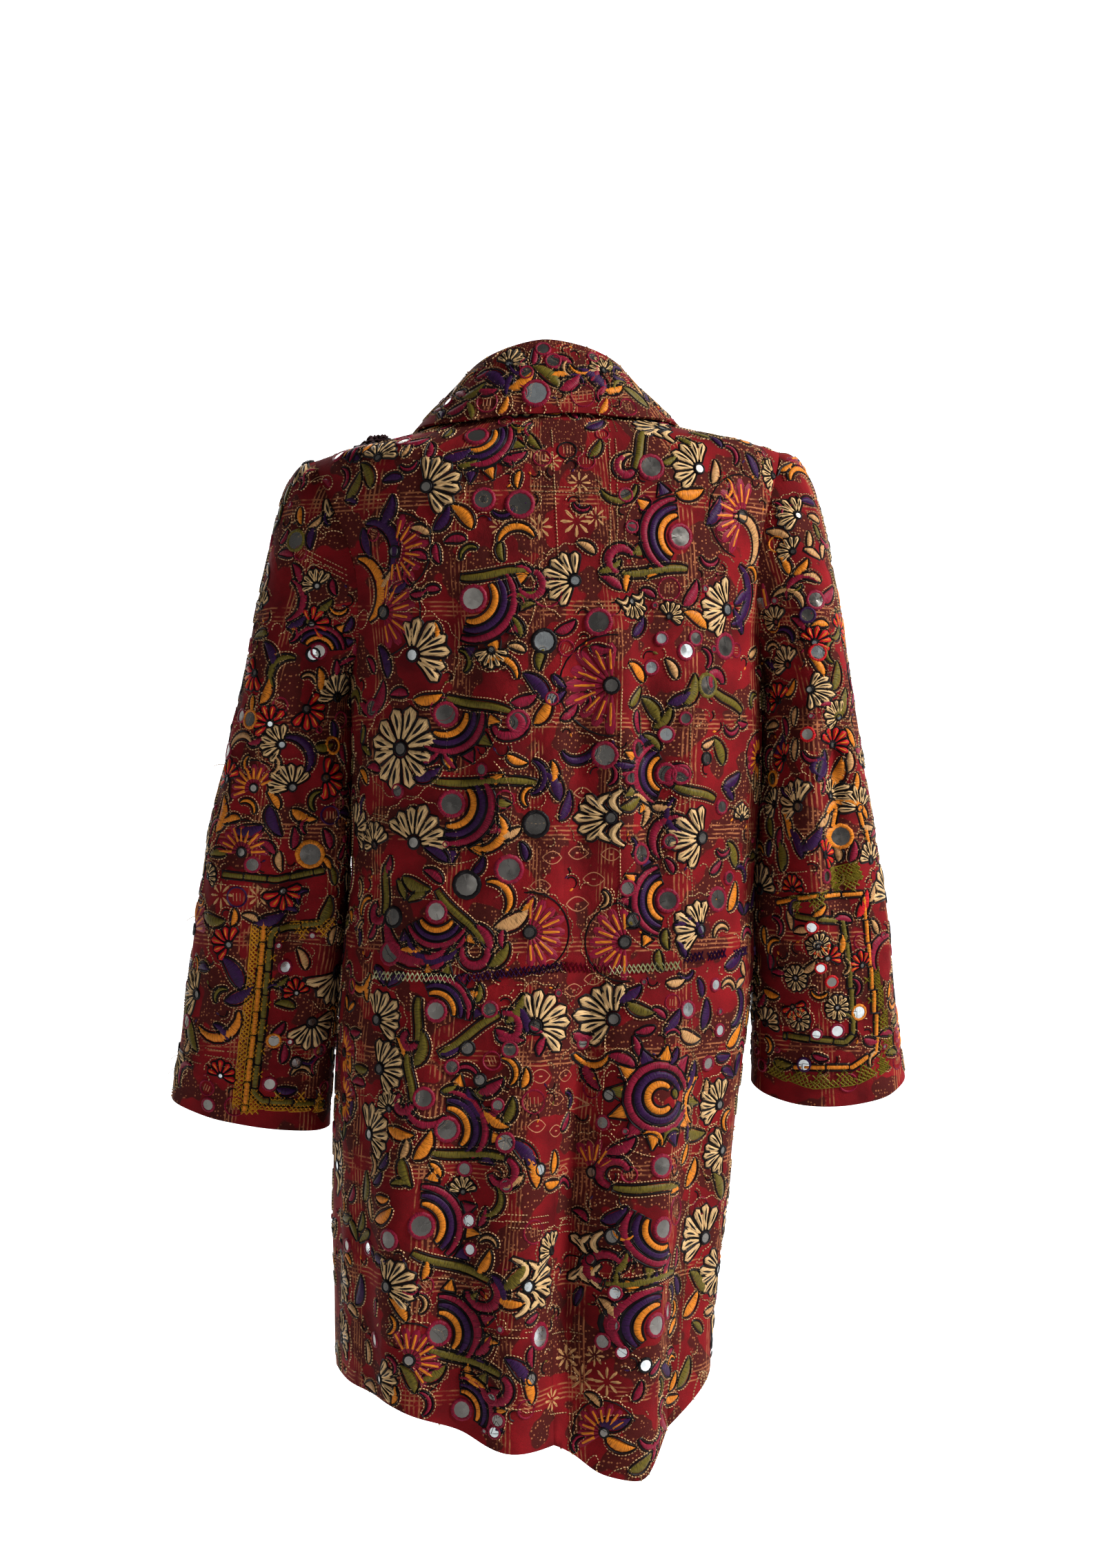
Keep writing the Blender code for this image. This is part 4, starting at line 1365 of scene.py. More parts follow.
    def make(self, panel: str) -> Object:
        """Makes the mesh of everything laid on one panel.

        Args:
            panel: The panel's name.

        Returns:
            The needlework, riding on the coat.
        """
        name, patch = "needlework_" + panel, self.patches[panel]
        slots = np.array(patch.slots, dtype=np.int32)
        work = link_mesh(name, patch.points, patch.faces, [self.finishes[key] for key in self.order], slots)
        set_flats(work.data, np.array(patch.flats))
        work.data.set_sharp_from_angle(angle=THREAD_EDGE)
        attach(work, "root")
        LOG.info("needlework %s: %d faces", name, len(work.data.polygons))
        return work


# Places are frame pixels. Turns are degrees clockwise from up, as the photograph shows the back.
# Columns: across, down, radius, turn.
CREAM_FANS = (
    (738, 528, 27, 20), (875, 538, 25, -20), (618, 706, 50, 70), (548, 664, 34, 10), (1014, 680, 44, -60),
    (1122, 706, 40, -60), (1054, 884, 48, -80), (834, 842, 46, -75), (598, 950, 56, 60), (544, 1226, 34, -20),
    (600, 1222, 54, 20), (1018, 1215, 52, -80), (1016, 1348, 44, -60), (776, 1488, 52, 60), (890, 1478, 54, -60),
    (546, 1479, 44, 50), (550, 1550, 44, 70), (536, 1645, 48, 60), (560, 1866, 44, 60), (497, 1940, 42, 50),
    (551, 2000, 38, 110), (1043, 1602, 40, -60), (1047, 1668, 38, -100), (1022, 1795, 52, -50),
    (1040, 1840, 42, -110), (460, 850, 27, -30), (489, 1012, 36, -20), (424, 1142, 36, -30), (452, 1482, 44, 160),
    (286, 1442, 42, -70), (1157, 748, 32, -60), (1143, 964, 30, -40), (1174, 1000, 30, 100), (1157, 1170, 42, -50),
    (1246, 1172, 34, -20), (1262, 1248, 30, -10), (409, 1080, 34, -70), (1216, 1040, 27, -60), (1250, 1110, 26, 10),
    (1126, 902, 24, -40), (1150, 800, 24, -60), (380, 880, 26, -20),
)
DAISIES = ((581, 1086, 60, 0), (1154, 1418, 20, 0), (1214, 1461, 20, 0), (1159, 1478, 19, 0), (1187, 1372, 20, 0))
SCROLL_FLOWERS = ((886, 1186, 50, -90), (766, 1866, 50, 90), (857, 1826, 50, -90), (916, 872, 26, 160))
WINE_FANS = (
    (1076, 749, 56, -70), (1104, 836, 50, -100), (572, 800, 52, 100), (556, 888, 58, 80), (887, 994, 66, -90),
    (768, 1352, 52, 90), (906, 1366, 52, -90), (500, 1526, 36, 90), (500, 1592, 36, 90), (593, 1973, 48, 60),
    (858, 1700, 48, -30), (876, 2078, 42, -30), (1098, 1100, 36, -90), (368, 1143, 38, -20), (350, 1236, 44, 0),
)
RED_FANS = (
    (444, 1028, 34, 130), (472, 1128, 34, 100), (370, 976, 30, -120), (1181, 932, 26, 30), (1129, 1016, 28, -40),
    (410, 1292, 30, 160), (1196, 1240, 26, 60), (332, 1370, 30, -60), (392, 1050, 30, -40), (452, 905, 27, 60),
    (330, 1130, 30, -20), (1216, 915, 28, 40), (1206, 1080, 28, 30), (1138, 1100, 26, -60), (1200, 1390, 24, 20),
    (1150, 1290, 22, 0), (1250, 1400, 22, -30), (320, 1560, 24, 20), (430, 1440, 22, -20), (1150, 1460, 22, 160),
)
# Columns: across, down, radius, turn, and the span in degrees where it isn't 150.
RAINBOWS = (
    (691, 632, 60, 130, 130), (686, 868, 70, 125), (646, 1036, 64, 150, 130), (655, 1166, 68, 120),
    (633, 1322, 58, 180, 130), (986, 778, 66, -80), (966, 1122, 54, -90, 140), (968, 1306, 60, -90),
    (648, 1638, 64, 70, 140), (611, 1778, 66, 70, 140), (636, 1934, 62, 70, 140), (670, 2044, 54, 60, 130),
    (962, 1782, 60, -130), (952, 1922, 62, -60), (632, 1466, 56, 40, 130), (462, 944, 44, 10),
)
SUNS = ((958, 1592, 62, 0),)
BARS = (
    (716, 604, 42, 4), (718, 832, 48, 0), (928, 648, 34, 112), (950, 828, 48, 180), (694, 1022, 46, 18),
    (700, 1134, 62, 6), (668, 1330, 50, 52), (680, 1500, 50, -28), (682, 1674, 50, 8), (652, 1834, 54, 24),
    (676, 1972, 54, 22), (944, 1724, 50, 188), (940, 1858, 54, 182), (1012, 1150, 34, 200), (606, 1478, 30, 96),
    (594, 1562, 34, 84), (560, 1290, 34, 96), (1056, 1016, 34, 210),
)
# Columns: across, down, radius, turn, colour.
CRESCENTS = (
    (750, 790, 26, -10, ORANGE), (722, 982, 26, 20, ORANGE), (712, 1306, 26, 60, ORANGE), (703, 1737, 24, 120, OLIVE),
    (728, 1556, 20, 70, ORANGE), (896, 700, 26, 170, OLIVE), (962, 590, 22, 30, ORANGE), (1070, 790, 40, 60, TAN),
    (520, 858, 46, 80, ORANGE), (540, 800, 40, 60, PURPLE), (1058, 860, 44, 100, PURPLE), (1092, 870, 36, -20, TAN),
    (608, 1336, 54, 200, WINE), (630, 1352, 40, 190, PURPLE), (1000, 1180, 30, -120, PURPLE),
    (982, 1220, 34, -60, WINE), (860, 1520, 24, 180, ORANGE), (700, 1200, 30, 130, ORANGE),
    (620, 1600, 30, 200, WINE), (1060, 1460, 28, 100, PURPLE), (1006, 1600, 27, -90, ORANGE),
    (310, 1470, 36, 160, ORANGE), (420, 1100, 30, 60, PURPLE), (486, 930, 38, 80, WINE), (1228, 1196, 34, 0, ORANGE),
    (1204, 900, 26, 120, OLIVE), (1167, 862, 26, -30, WINE), (1140, 880, 24, 20, TAN), (920, 1180, 26, 60, TAN),
)
# Columns: across, down, half length, turn, colour.
LEAVES = (
    (713, 551, 27, -58, PURPLE), (755, 550, 24, 52, ORANGE), (791, 546, 26, -50, OLIVE), (826, 552, 22, 48, WINE),
    (859, 551, 27, -50, PURPLE), (889, 562, 18, 72, ORANGE), (921, 577, 24, -48, OLIVE), (729, 587, 15, 24, ORANGE),
    (749, 588, 20, -42, PURPLE), (816, 584, 18, -22, OLIVE), (874, 588, 14, 26, ORANGE), (894, 594, 18, -44, PURPLE),
    (686, 566, 22, 58, OLIVE), (664, 590, 20, 60, WINE), (944, 596, 18, 44, PURPLE), (640, 612, 18, 62, ORANGE),
    (668, 750, 24, -44, ORANGE), (700, 724, 4, 0, BLACK), (862, 650, 16, 30, OLIVE), (664, 657, 22, 70, PURPLE),
    (640, 750, 22, 30, PURPLE), (746, 660, 18, 70, WINE), (776, 640, 16, 150, OLIVE), (1034, 740, 24, 30, PURPLE),
    (1000, 712, 22, 80, ORANGE), (776, 998, 26, -40, PURPLE), (785, 1030, 22, 30, ORANGE), (760, 1012, 20, 70, WINE),
    (922, 976, 20, -50, ORANGE), (920, 1010, 18, 40, OLIVE), (942, 1030, 22, -36, OLIVE), (960, 1040, 20, 40, OLIVE),
    (886, 846, 18, -60, WINE), (884, 820, 18, 60, OLIVE), (917, 1162, 20, 60, OLIVE), (800, 1140, 24, -30, PURPLE),
    (818, 1168, 22, 20, PURPLE), (742, 1330, 28, 60, TAN), (700, 1360, 22, -30, WINE), (722, 1384, 22, 40, OLIVE),
    (800, 1120, 16, 0, ORANGE), (746, 1462, 24, 30, OLIVE), (756, 1478, 22, -20, PURPLE), (740, 1500, 22, 110, WINE),
    (756, 1676, 28, -40, PURPLE), (770, 1700, 24, -20, ORANGE), (742, 1712, 18, 60, TAN), (606, 1520, 26, 10, OLIVE),
    (690, 1600, 24, 150, PURPLE), (720, 1622, 22, 120, ORANGE), (710, 1574, 22, 60, WINE), (736, 1610, 20, 20, OLIVE),
    (744, 1850, 26, 40, OLIVE), (722, 1870, 22, -30, PURPLE), (740, 1886, 20, 100, ORANGE),
    (700, 1830, 20, 30, ORANGE), (748, 1990, 24, -40, PURPLE), (764, 2016, 22, -20, ORANGE),
    (700, 1950, 20, 40, WINE), (690, 2000, 20, 120, ORANGE), (590, 2000, 22, -30, OLIVE), (628, 1990, 20, 60, OLIVE),
    (612, 1660, 24, 30, ORANGE), (580, 1640, 22, 100, ORANGE), (590, 1700, 22, 160, OLIVE),
    (530, 1720, 22, 10, OLIVE), (554, 1760, 22, 60, ORANGE), (520, 1870, 24, 20, PURPLE),
    (576, 1900, 20, -40, ORANGE), (910, 1440, 22, 60, PURPLE), (930, 1460, 22, 110, OLIVE),
    (846, 1500, 20, 100, WINE), (900, 1540, 22, -70, WINE), (860, 1560, 22, 150, WINE), (974, 1480, 20, 40, PURPLE),
    (1002, 1500, 22, 110, TAN), (1020, 1470, 22, 10, PURPLE), (1064, 1500, 24, 50, ORANGE),
    (1000, 1560, 22, 20, PURPLE), (1006, 1640, 24, 100, OLIVE), (1040, 1720, 24, -30, OLIVE),
    (900, 1660, 24, 60, WINE), (1000, 1700, 22, 20, ORANGE), (890, 1760, 22, 60, PURPLE),
    (1010, 1860, 24, -40, OLIVE), (1000, 1890, 22, 40, ORANGE), (900, 1830, 18, 30, OLIVE), (880, 1900, 20, -40, TAN),
    (990, 1990, 24, 30, OLIVE), (964, 1990, 22, -60, PURPLE), (1012, 2010, 20, 20, ORANGE),
    (890, 2060, 24, 80, PURPLE), (900, 2092, 22, 110, ORANGE), (930, 2120, 22, 60, OLIVE), (962, 2060, 20, 140, WINE),
    (972, 2026, 16, 90, ORANGE), (530, 690, 22, -30, OLIVE), (512, 704, 22, 30, OLIVE), (604, 640, 20, 70, WINE),
    (1090, 676, 20, -30, PURPLE), (1034, 684, 18, 10, TAN), (1102, 764, 20, 70, TAN), (560, 740, 24, 20, PURPLE),
    (556, 960, 24, -20, PURPLE), (548, 1010, 26, 30, WINE), (620, 1010, 22, 80, ORANGE), (618, 1120, 22, 70, PURPLE),
    (1000, 860, 22, 30, WINE), (1008, 900, 22, -60, ORANGE), (1000, 1000, 24, 20, OLIVE), (986, 1010, 20, 60, PURPLE),
    (1040, 1090, 22, -30, OLIVE), (1060, 1130, 20, 60, PURPLE), (1060, 1240, 22, -30, OLIVE),
    (1090, 1300, 22, 40, PURPLE), (1060, 1300, 22, 20, ORANGE), (1064, 1390, 22, 60, PURPLE),
    (604, 1280, 24, 110, OLIVE), (632, 1240, 20, -60, PURPLE), (750, 1100, 16, 110, ORANGE),
    (390, 950, 22, -30, PURPLE), (384, 1000, 22, 20, ORANGE), (462, 986, 18, -10, ORANGE), (430, 900, 18, 60, PURPLE),
    (440, 1180, 20, 110, ORANGE), (400, 1190, 24, 160, PURPLE), (470, 1080, 18, 80, OLIVE),
    (320, 1180, 28, 10, ORANGE), (360, 1200, 24, 80, PURPLE), (390, 1330, 24, 70, PURPLE), (470, 1320, 22, 20, OLIVE),
    (334, 1412, 28, -30, PURPLE), (346, 1440, 24, 60, PURPLE), (280, 1500, 26, 160, OLIVE),
    (308, 1330, 24, 100, OLIVE), (1190, 1110, 24, 20, PURPLE), (1141, 1197, 22, -20, ORANGE),
    (1152, 1222, 26, -30, PURPLE), (1176, 1216, 24, 40, PURPLE), (1130, 1240, 24, -10, OLIVE),
    (1160, 822, 16, 40, ORANGE), (1136, 820, 16, -30, ORANGE), (1200, 860, 22, 60, WINE), (1210, 980, 22, 10, OLIVE),
    (1218, 1020, 26, 30, OLIVE), (1130, 1080, 20, 30, PURPLE), (1210, 1120, 24, 20, ORANGE),
    (1250, 1310, 22, 20, RED),
)
VEES = (
    (1064, 880, 42, 100, PURPLE), (1110, 768, 36, 60, TAN), (536, 812, 44, -60, PURPLE), (590, 1306, 32, 20, OLIVE),
    (790, 1500, 30, 250, WINE), (920, 1500, 30, 120, WINE), (820, 1000, 26, 270, PURPLE),
    (1064, 1560, 34, -20, PURPLE), (560, 1430, 34, 10, PURPLE), (520, 1800, 34, 10, OLIVE),
    (1006, 1330, 32, 200, PURPLE), (640, 1090, 30, 190, WINE),
)
# Columns: across, down, radius, and the rim's colour and the glass where they aren't wine and grey.
MIRRORS = (
    (777, 570, 17, WINE, BRIGHT), (701, 724, 14), (754, 731, 17), (944, 677, 16), (907, 718, 9), (916, 764, 8),
    (789, 930, 15, BLACK, BRIGHT), (868, 902, 16), (944, 968, 9, WINE, BRIGHT), (959, 926, 8, WINE, BRIGHT),
    (995, 944, 11, WINE, BRIGHT), (1051, 937, 16), (1026, 994, 15, OLIVE), (800, 1013, 8, WINE, BRIGHT),
    (751, 1046, 14), (877, 1095, 16), (966, 1065, 10, WINE, BRIGHT), (994, 1042, 8), (925, 1087, 12), (915, 1128, 8),
    (699, 1116, 8), (777, 1195, 16, BLACK), (988, 1123, 12), (738, 1261, 17), (677, 1283, 17, BLACK), (929, 1238, 13),
    (910, 1288, 10), (918, 1334, 9, BLACK), (972, 1220, 9), (1040, 1304, 15), (570, 1330, 13, BLACK), (566, 1382, 15),
    (540, 1027, 12), (1024, 1100, 8, BLACK), (1046, 1170, 9), (710, 1464, 10), (678, 1520, 9, BLACK), (739, 1522, 10),
    (655, 1547, 9), (696, 1566, 8, BLACK), (614, 1593, 13), (722, 1603, 8), (733, 1657, 12), (674, 1695, 9),
    (734, 1719, 8), (783, 1696, 8, BLACK, BRIGHT), (680, 1770, 9, WINE, BRIGHT), (682, 1812, 8, WINE, BRIGHT),
    (563, 1798, 13), (535, 1810, 9, WINE, BRIGHT), (504, 1806, 8), (883, 1588, 8, BLACK), (874, 1628, 9),
    (960, 1691, 14), (888, 1793, 10, BLACK), (892, 1875, 9, WINE, BRIGHT), (1026, 1542, 9),
    (783, 1938, 16, WINE, BRIGHT), (717, 2077, 8, WINE, BRIGHT), (902, 1961, 8, WINE, BRIGHT),
    (936, 1980, 9, BLACK, BRIGHT), (889, 1922, 8), (967, 1901, 10), (770, 2000, 8, BLACK),
    (997, 1464, 11, WINE, BRIGHT), (1043, 1494, 8, WINE, BRIGHT), (1037, 1428, 8, WINE, BRIGHT), (844, 1512, 8),
    (429, 784, 14, OLIVE), (363, 1043, 12, ORANGE), (482, 1081, 11, ORANGE), (450, 1239, 17, ORANGE),
    (413, 1402, 9, WINE, BRIGHT), (397, 1509, 9, ORANGE), (464, 1523, 9, WINE, BRIGHT), (429, 1541, 8, BLACK, BRIGHT),
    (391, 1572, 9), (302, 1602, 9), (454, 949, 9, BLACK, BRIGHT), (366, 1254, 10), (1183, 870, 12),
    (1186, 946, 11, RED, BRIGHT), (1171, 1065, 9, RED), (1190, 1113, 12, PURPLE), (1121, 1129, 10, ORANGE),
    (1219, 1213, 15, ORANGE), (1171, 892, 10, PURPLE), (1177, 1345, 8, RED, BRIGHT), (1206, 1424, 8, RED),
    (1214, 1495, 9, WINE, BRIGHT), (1245, 1468, 10, ORANGE, BRIGHT), (1166, 1544, 9, PURPLE, BRIGHT),
    (1186, 1370, 7, BLACK), (1190, 1404, 7, RED, BRIGHT), (1184, 1500, 7, WINE, BRIGHT),
)
# Columns: across, down, radius, and the colour where it isn't wine.
RINGS = (
    (706, 583, 15), (845, 573, 17), (911, 590, 13), (822, 653, 13, BLACK), (873, 630, 9), (793, 859, 20),
    (479, 1182, 13, PURPLE), (343, 1301, 14, PURPLE), (980, 1755, 20), (775, 1598, 16), (775, 1787, 16),
    (1126, 789, 11, ORANGE), (1120, 905, 12, ORANGE), (641, 1028, 16), (970, 854, 16), (858, 1580, 12),
    (786, 664, 12), (850, 668, 12), (340, 1604, 14), (1230, 1570, 13),
)
# Columns: across, down, radius.
EYES = (
    (801, 1244, 14), (837, 1237, 14), (886, 1239, 14), (784, 1285, 14), (861, 1275, 15), (837, 1311, 16),
    (832, 1436, 14), (837, 1510, 15), (784, 1561, 15), (748, 1599, 14), (807, 1594, 14), (779, 1633, 14),
    (820, 1560, 13), (832, 1600, 14), (806, 1640, 13), (850, 1660, 13), (816, 1700, 14), (800, 1128, 12),
    (845, 1150, 12), (862, 1210, 12), (800, 1400, 13), (860, 1420, 13), (818, 1478, 13), (868, 1330, 13),
)
PRINTED_ROSETTES = (
    (836, 756, 22), (782, 764, 18), (864, 750, 15), (880, 2004, 20), (844, 1999, 20), (821, 1968, 17), (800, 668, 14),
    (770, 652, 14), (840, 700, 16), (724, 764, 14), (320, 1298, 20), (374, 1300, 16), (862, 1966, 15),
    (800, 2030, 16),
)
# Lines of cream running stitches: points across and down.
STITCH_LINES = (
    ((800, 620), (806, 740), (812, 860)), ((770, 705), (880, 708)), ((772, 712), (878, 716)),
    ((882, 600), (886, 720), (884, 830)), ((892, 600), (896, 720), (894, 830)),
    ((1002, 1010), (1000, 1160), (1004, 1300)), ((902, 1000), (898, 1150), (900, 1320)), ((536, 1180), (640, 1196)),
    ((540, 1190), (636, 1206)), ((700, 1760), (880, 1768)), ((700, 1770), (884, 1778)), ((740, 1780), (886, 1790)),
    ((690, 1926), (850, 1934)), ((700, 1938), (846, 1946)), ((690, 2040), (846, 2052)),
    ((1002, 1420), (1004, 1560), (1000, 1700), (990, 1900), (976, 2060)), ((880, 1420), (876, 1560), (868, 1700)),
    ((439, 795), (506, 828)), ((440, 803), (507, 836)), ((441, 811), (508, 844)), ((262, 1516), (352, 1528)),
    ((262, 1526), (352, 1538)), ((264, 1538), (352, 1550)), ((330, 1270), (400, 1278)), ((300, 1280), (396, 1290)),
    ((1110, 1290), (1180, 1296)), ((1112, 1300), (1182, 1306)), ((1108, 1270), (1184, 1262)),
    ((420, 1340), (480, 1348)), ((420, 1352), (480, 1360)), ((420, 1364), (480, 1372)), ((560, 1300), (650, 1306)),
    ((700, 660), (770, 668)),
)
# Borders on the sleeves, by colour: half width and the points of its line, across and down.
BORDERS = (
    (ORANGE, 4.0, ((383, 1332), (378, 1400), (370, 1480), (360, 1560), (354, 1612))),
    (OLIVE, 4.5, ((470, 1338), (400, 1346), (392, 1360), (382, 1470), (368, 1584), (380, 1597), (472, 1602))),
    (OLIVE, 4.0, ((1150, 1330), (1222, 1336), (1232, 1400), (1238, 1500), (1226, 1512), (1136, 1502))),
    (ORANGE, 3.6, ((1252, 1300), (1262, 1400), (1272, 1500), (1270, 1526), (1236, 1548), (1150, 1548))),
    (ORANGE, 3.4, ((1120, 1310), (1180, 1300), (1252, 1296))),
    (ORANGE, 4.0, ((1206, 1200), (1214, 1166), (1236, 1160), (1250, 1190), (1262, 1230))),
    (OLIVE, 4.0, ((320, 1268), (400, 1276), (470, 1262))),
)
LACES = (
    (GOLD, 11.0, ((378, 1336), (372, 1420), (362, 1500), (352, 1590), (350, 1612))),
    (GOLD, 11.0, ((366, 1340), (360, 1420), (350, 1500), (340, 1590), (338, 1606))),
    (GOLD, 12.0, ((350, 1604), (400, 1609), (470, 1611))), (GOLD, 11.0, ((486, 1334), (420, 1338))),
    (LACE, 11.0, ((1296, 1530), (1284, 1470), (1272, 1404))),
    (LACE, 12.0, ((1110, 1556), (1180, 1578), (1240, 1572), (1292, 1548))),
    (LACE, 11.0, ((1244, 1250), (1200, 1262))), (LACE, 11.0, ((1200, 1296), (1140, 1302))),
    (LACE, 10.0, ((1248, 1268), (1204, 1280))), (LACE, 10.0, ((1206, 1284), (1250, 1272))),
)
# The waist seam's stitching by colour: start and end, across and down.
WAIST_WORK = (
    (SAGE, (537, 1414), (660, 1420)), (PURPLE, (660, 1420), (815, 1402)), (WINE, (815, 1402), (885, 1404)),
    (SAGE, (885, 1407), (990, 1400)), (PURPLE, (988, 1390), (1096, 1378)),
)


# Rounds of fill: tries, the smallest and the largest motif in metres, and how near two may come.
LARGE_FILL = ((700, (0.024, 0.030), 0.92), (900, (0.013, 0.018), 0.85))
SMALL_FILL = ((2600, (0.007, 0.010), 0.74), (3200, (0.0035, 0.0055), 0.80))
# Fill from these sizes up is a large motif, a fan or spray, or a leaf. Smaller fill is a curl.
LARGE_M, SPRAY_M, LEAF_M = 0.022, 0.012, 0.0065


@dataclass
class Embroiderer:
    """Works the chart onto the coat's grounds and fills the gaps between its motifs."""

    grounds: Dict[str, Ground]
    works: Dict[str, Needlework]
    book: MotifBook = field(default_factory=MotifBook)
    chance: random.Random = field(default_factory=lambda: random.Random(11))
    plain_bands: Dict[str, float] = field(default_factory=lambda: {"sleeve_left": -0.585, "sleeve_right": -0.565})
    stretch_px: float = 34.0
    shortest_px: float = 4.0
    line_room_px: float = 6.0
    herringbone_px: float = 6.0

    def find(self, across: float, down: float, side: Side) -> Optional[Tuple[str, Landing]]:
        """The cloth at a place of the frame.

        Args:
            across: Frame pixels from the left.
            down: Frame pixels from the top.
            side: Whether the back is seen, or the front through it.

        Returns:
            The ground's name and the landing on it, or nothing beside the coat or on its inside.
        """
        depth = side.value
        origin = Vector((CAMERA_PLACE[0], -CAMERA_PLACE[1] * depth, CAMERA_PLACE[2]))
        way = Vector((
            -(across - FRAME_MIDDLE[0]) / PIXELS_PER_TANGENT, depth, -(down - FRAME_MIDDLE[1]) / PIXELS_PER_TANGENT,
        )).normalized()
        nearest: Optional[Tuple[str, Landing]] = None
        for name, ground in self.grounds.items():
            found = ground.hit(origin, way, 4.0)
            if found and (nearest is None or (found[0] - origin).length < (nearest[1][0] - origin).length):
                nearest = (name, found)
        if nearest is None:
            return None
        _, away = self.grounds[nearest[0]].axis.around(np.array([nearest[1][0]]))
        return nearest if nearest[1][1].dot(Vector(away[0])) > 0.0 else None

    def place(self, strips: List[Strip], across: float, down: float, radius: float, turn: float, side: Side) -> None:
        """Lays a motif at a place of the frame.

        Args:
            strips: The motif.
            across: Frame pixels from the left.
            down: Frame pixels from the top.
            radius: Its room in frame pixels.
            turn: Its turn in degrees.
            side: The side of the coat.
        """
        nearest = self.find(across, down, side)
        if nearest:
            name, found = nearest
            self.works[name].lay(strips, found, turn * -side.value, radius * FRAME_METRES)

    def work_chart(self, side: Side) -> None:
        """Works all the charted motifs on one side of the coat.

        Args:
            side: The side of the coat.
        """
        book = self.book
        turned = (
            (BARS, 0.6, book.bar),
            (RAINBOWS, 0.8, book.rainbow),
            (SUNS, 1.0, book.sun),
            (WINE_FANS, 0.7, book.ray_fan),
            (RED_FANS, 0.8, lambda size: book.fan(size, RED, 6, 170.0)),
            (CREAM_FANS, 0.8, book.fan),
            (DAISIES, 1.0, lambda size: book.fan(size, CREAM, 12, 330.0)),
            (SCROLL_FLOWERS, 0.8, book.scroll),
            (CRESCENTS, 0.5, book.crescent),
            (LEAVES, 0.6, book.leaf),
            (VEES, 0.6, book.vee),
        )
        for chart, room, motif in turned:
            for across, down, radius, turn, *kind in chart:
                self.place(motif(radius * FRAME_METRES, *kind), across, down, radius * room, turn, side)
        still = ((MIRRORS, book.glass), (RINGS, book.ring), (EYES, book.eye), (PRINTED_ROSETTES, book.rosette))
        for chart, motif in still:
            for across, down, radius, *kind in chart:
                self.place(motif(radius * FRAME_METRES, *kind), across, down, radius, 0.0, side)
        LOG.info("charted motifs on the %s", side.name.lower())

    def work_lines(self, side: Side) -> None:
        """Works the running stitches, sleeve borders and laces and the waist seam's stitching.

        Args:
            side: The side of the coat.
        """
        for points in STITCH_LINES:
            self.work_line(points, side, LineWork.STITCHES, STITCH, 0.0)
        for colour, half, points in BORDERS:
            self.work_line(points, side, LineWork.BORDER, colour, half)
        for colour, half, points in LACES:
            self.work_line(points, side, LineWork.LACE, colour, half)
        for colour, start, end in WAIST_WORK:
            self.work_line((start, end), side, LineWork.HERRINGBONE, colour, self.herringbone_px)

    def work_line(self, points: Sequence[Row], side: Side, kind: LineWork, colour: Thread, half_px: float) -> None:
        """Works a line piece by piece, each short stretch in the plane of its own cloth.

        Args:
            points: The line's points, across and down.
            side: The side of the coat.
            kind: How it is worked.
            colour: The thread.
            half_px: Half the line's width in frame pixels.
        """
        data = np.array(points, float)
        run = run_of(data)
        for start in np.arange(0.0, run[-1], self.stretch_px):
            end = min(start + self.stretch_px, run[-1])
            if end - start < self.shortest_px:
                continue
            spots = points_at(data, run, np.linspace(start, end, 8))
            middle = spots[4]
            local = (spots - middle) * np.array([-side.value, -1.0]) * FRAME_METRES
            strips = self.stretch_of(local, kind, colour, half_px * FRAME_METRES)
            self.place(strips, middle[0], middle[1], self.line_room_px, 0.0, side)

    def stretch_of(self, local: np.ndarray, kind: LineWork, colour: Thread, half: float) -> List[Strip]:
        """The strips of one short stretch of a worked line.

        Args:
            local: The stretch's points in metres.
            kind: How it is worked.
            colour: The thread.
            half: Half the line's width in metres.

        Returns:
            The strips.
        """
        if kind is LineWork.STITCHES:
            return self.book.stitches(local)
        if kind is LineWork.BORDER:
            return self.book.worked(local, np.full(len(local), half), colour, self.book.satin)
        return self.lace_of(local, colour, half) if kind is LineWork.LACE else self.herringbone_of(local, colour, half)

    def herringbone_of(self, local: np.ndarray, colour: Thread, half: float) -> List[Strip]:
        """Open crosses along a line.

        Args:
            local: The line's points in metres.
            colour: The thread.
            half: Half the line's width.

        Returns:
            The strips.
        """
        made = []
        index = np.arange(len(local))
        length = float(np.linalg.norm(np.diff(local, axis=0), axis=1).sum())
        at = np.linspace(0.0, len(local) - 1.0, max(2, round(length / (half * 1.25))) + 1)
        line, normal = points_at(local, index, at), points_at(sides_of(local), index, at)
        for step in range(len(at) - 1):
            for sign in (1.0, -1.0):
                start, end = line[step] - normal[step] * half * sign, line[step + 1] + normal[step + 1] * half * sign
                made.append(cord(np.array([start, end]), 0.00052, colour, 0.0011, 0.0003))
        return made

    def lace_of(self, local: np.ndarray, colour: Thread, half: float) -> List[Strip]:
        """A lace of small crosses in three rows that narrow to a point.

        Args:
            local: The line's points in metres.
            colour: The thread.
            half: Half the width of a row.

        Returns:
            The strips.
        """
        side = sides_of(local)
        made = []
        index = np.arange(len(local))
        for row, cells in enumerate((5, 3, 1)):
            for cell in range(cells):
                at = (len(local) - 1) * (0.5 + (cell - (cells - 1) / 2) / 5.2)
                normal = points_at(side, index, at)
                run = np.array([normal[1], -normal[0]])
                middle = points_at(local, index, at) + normal * half * (0.36 + 0.72 * row)
                for way in (-1.0, 1.0):
                    arm = (normal * way + run) * half * 0.42
                    made.append(cord(np.array([middle - arm, middle + arm]), 0.00085, colour, 0.0009, 0.0001))
        return made + [cord(local - side * half * 0.12, 0.0009, colour, 0.0009)]

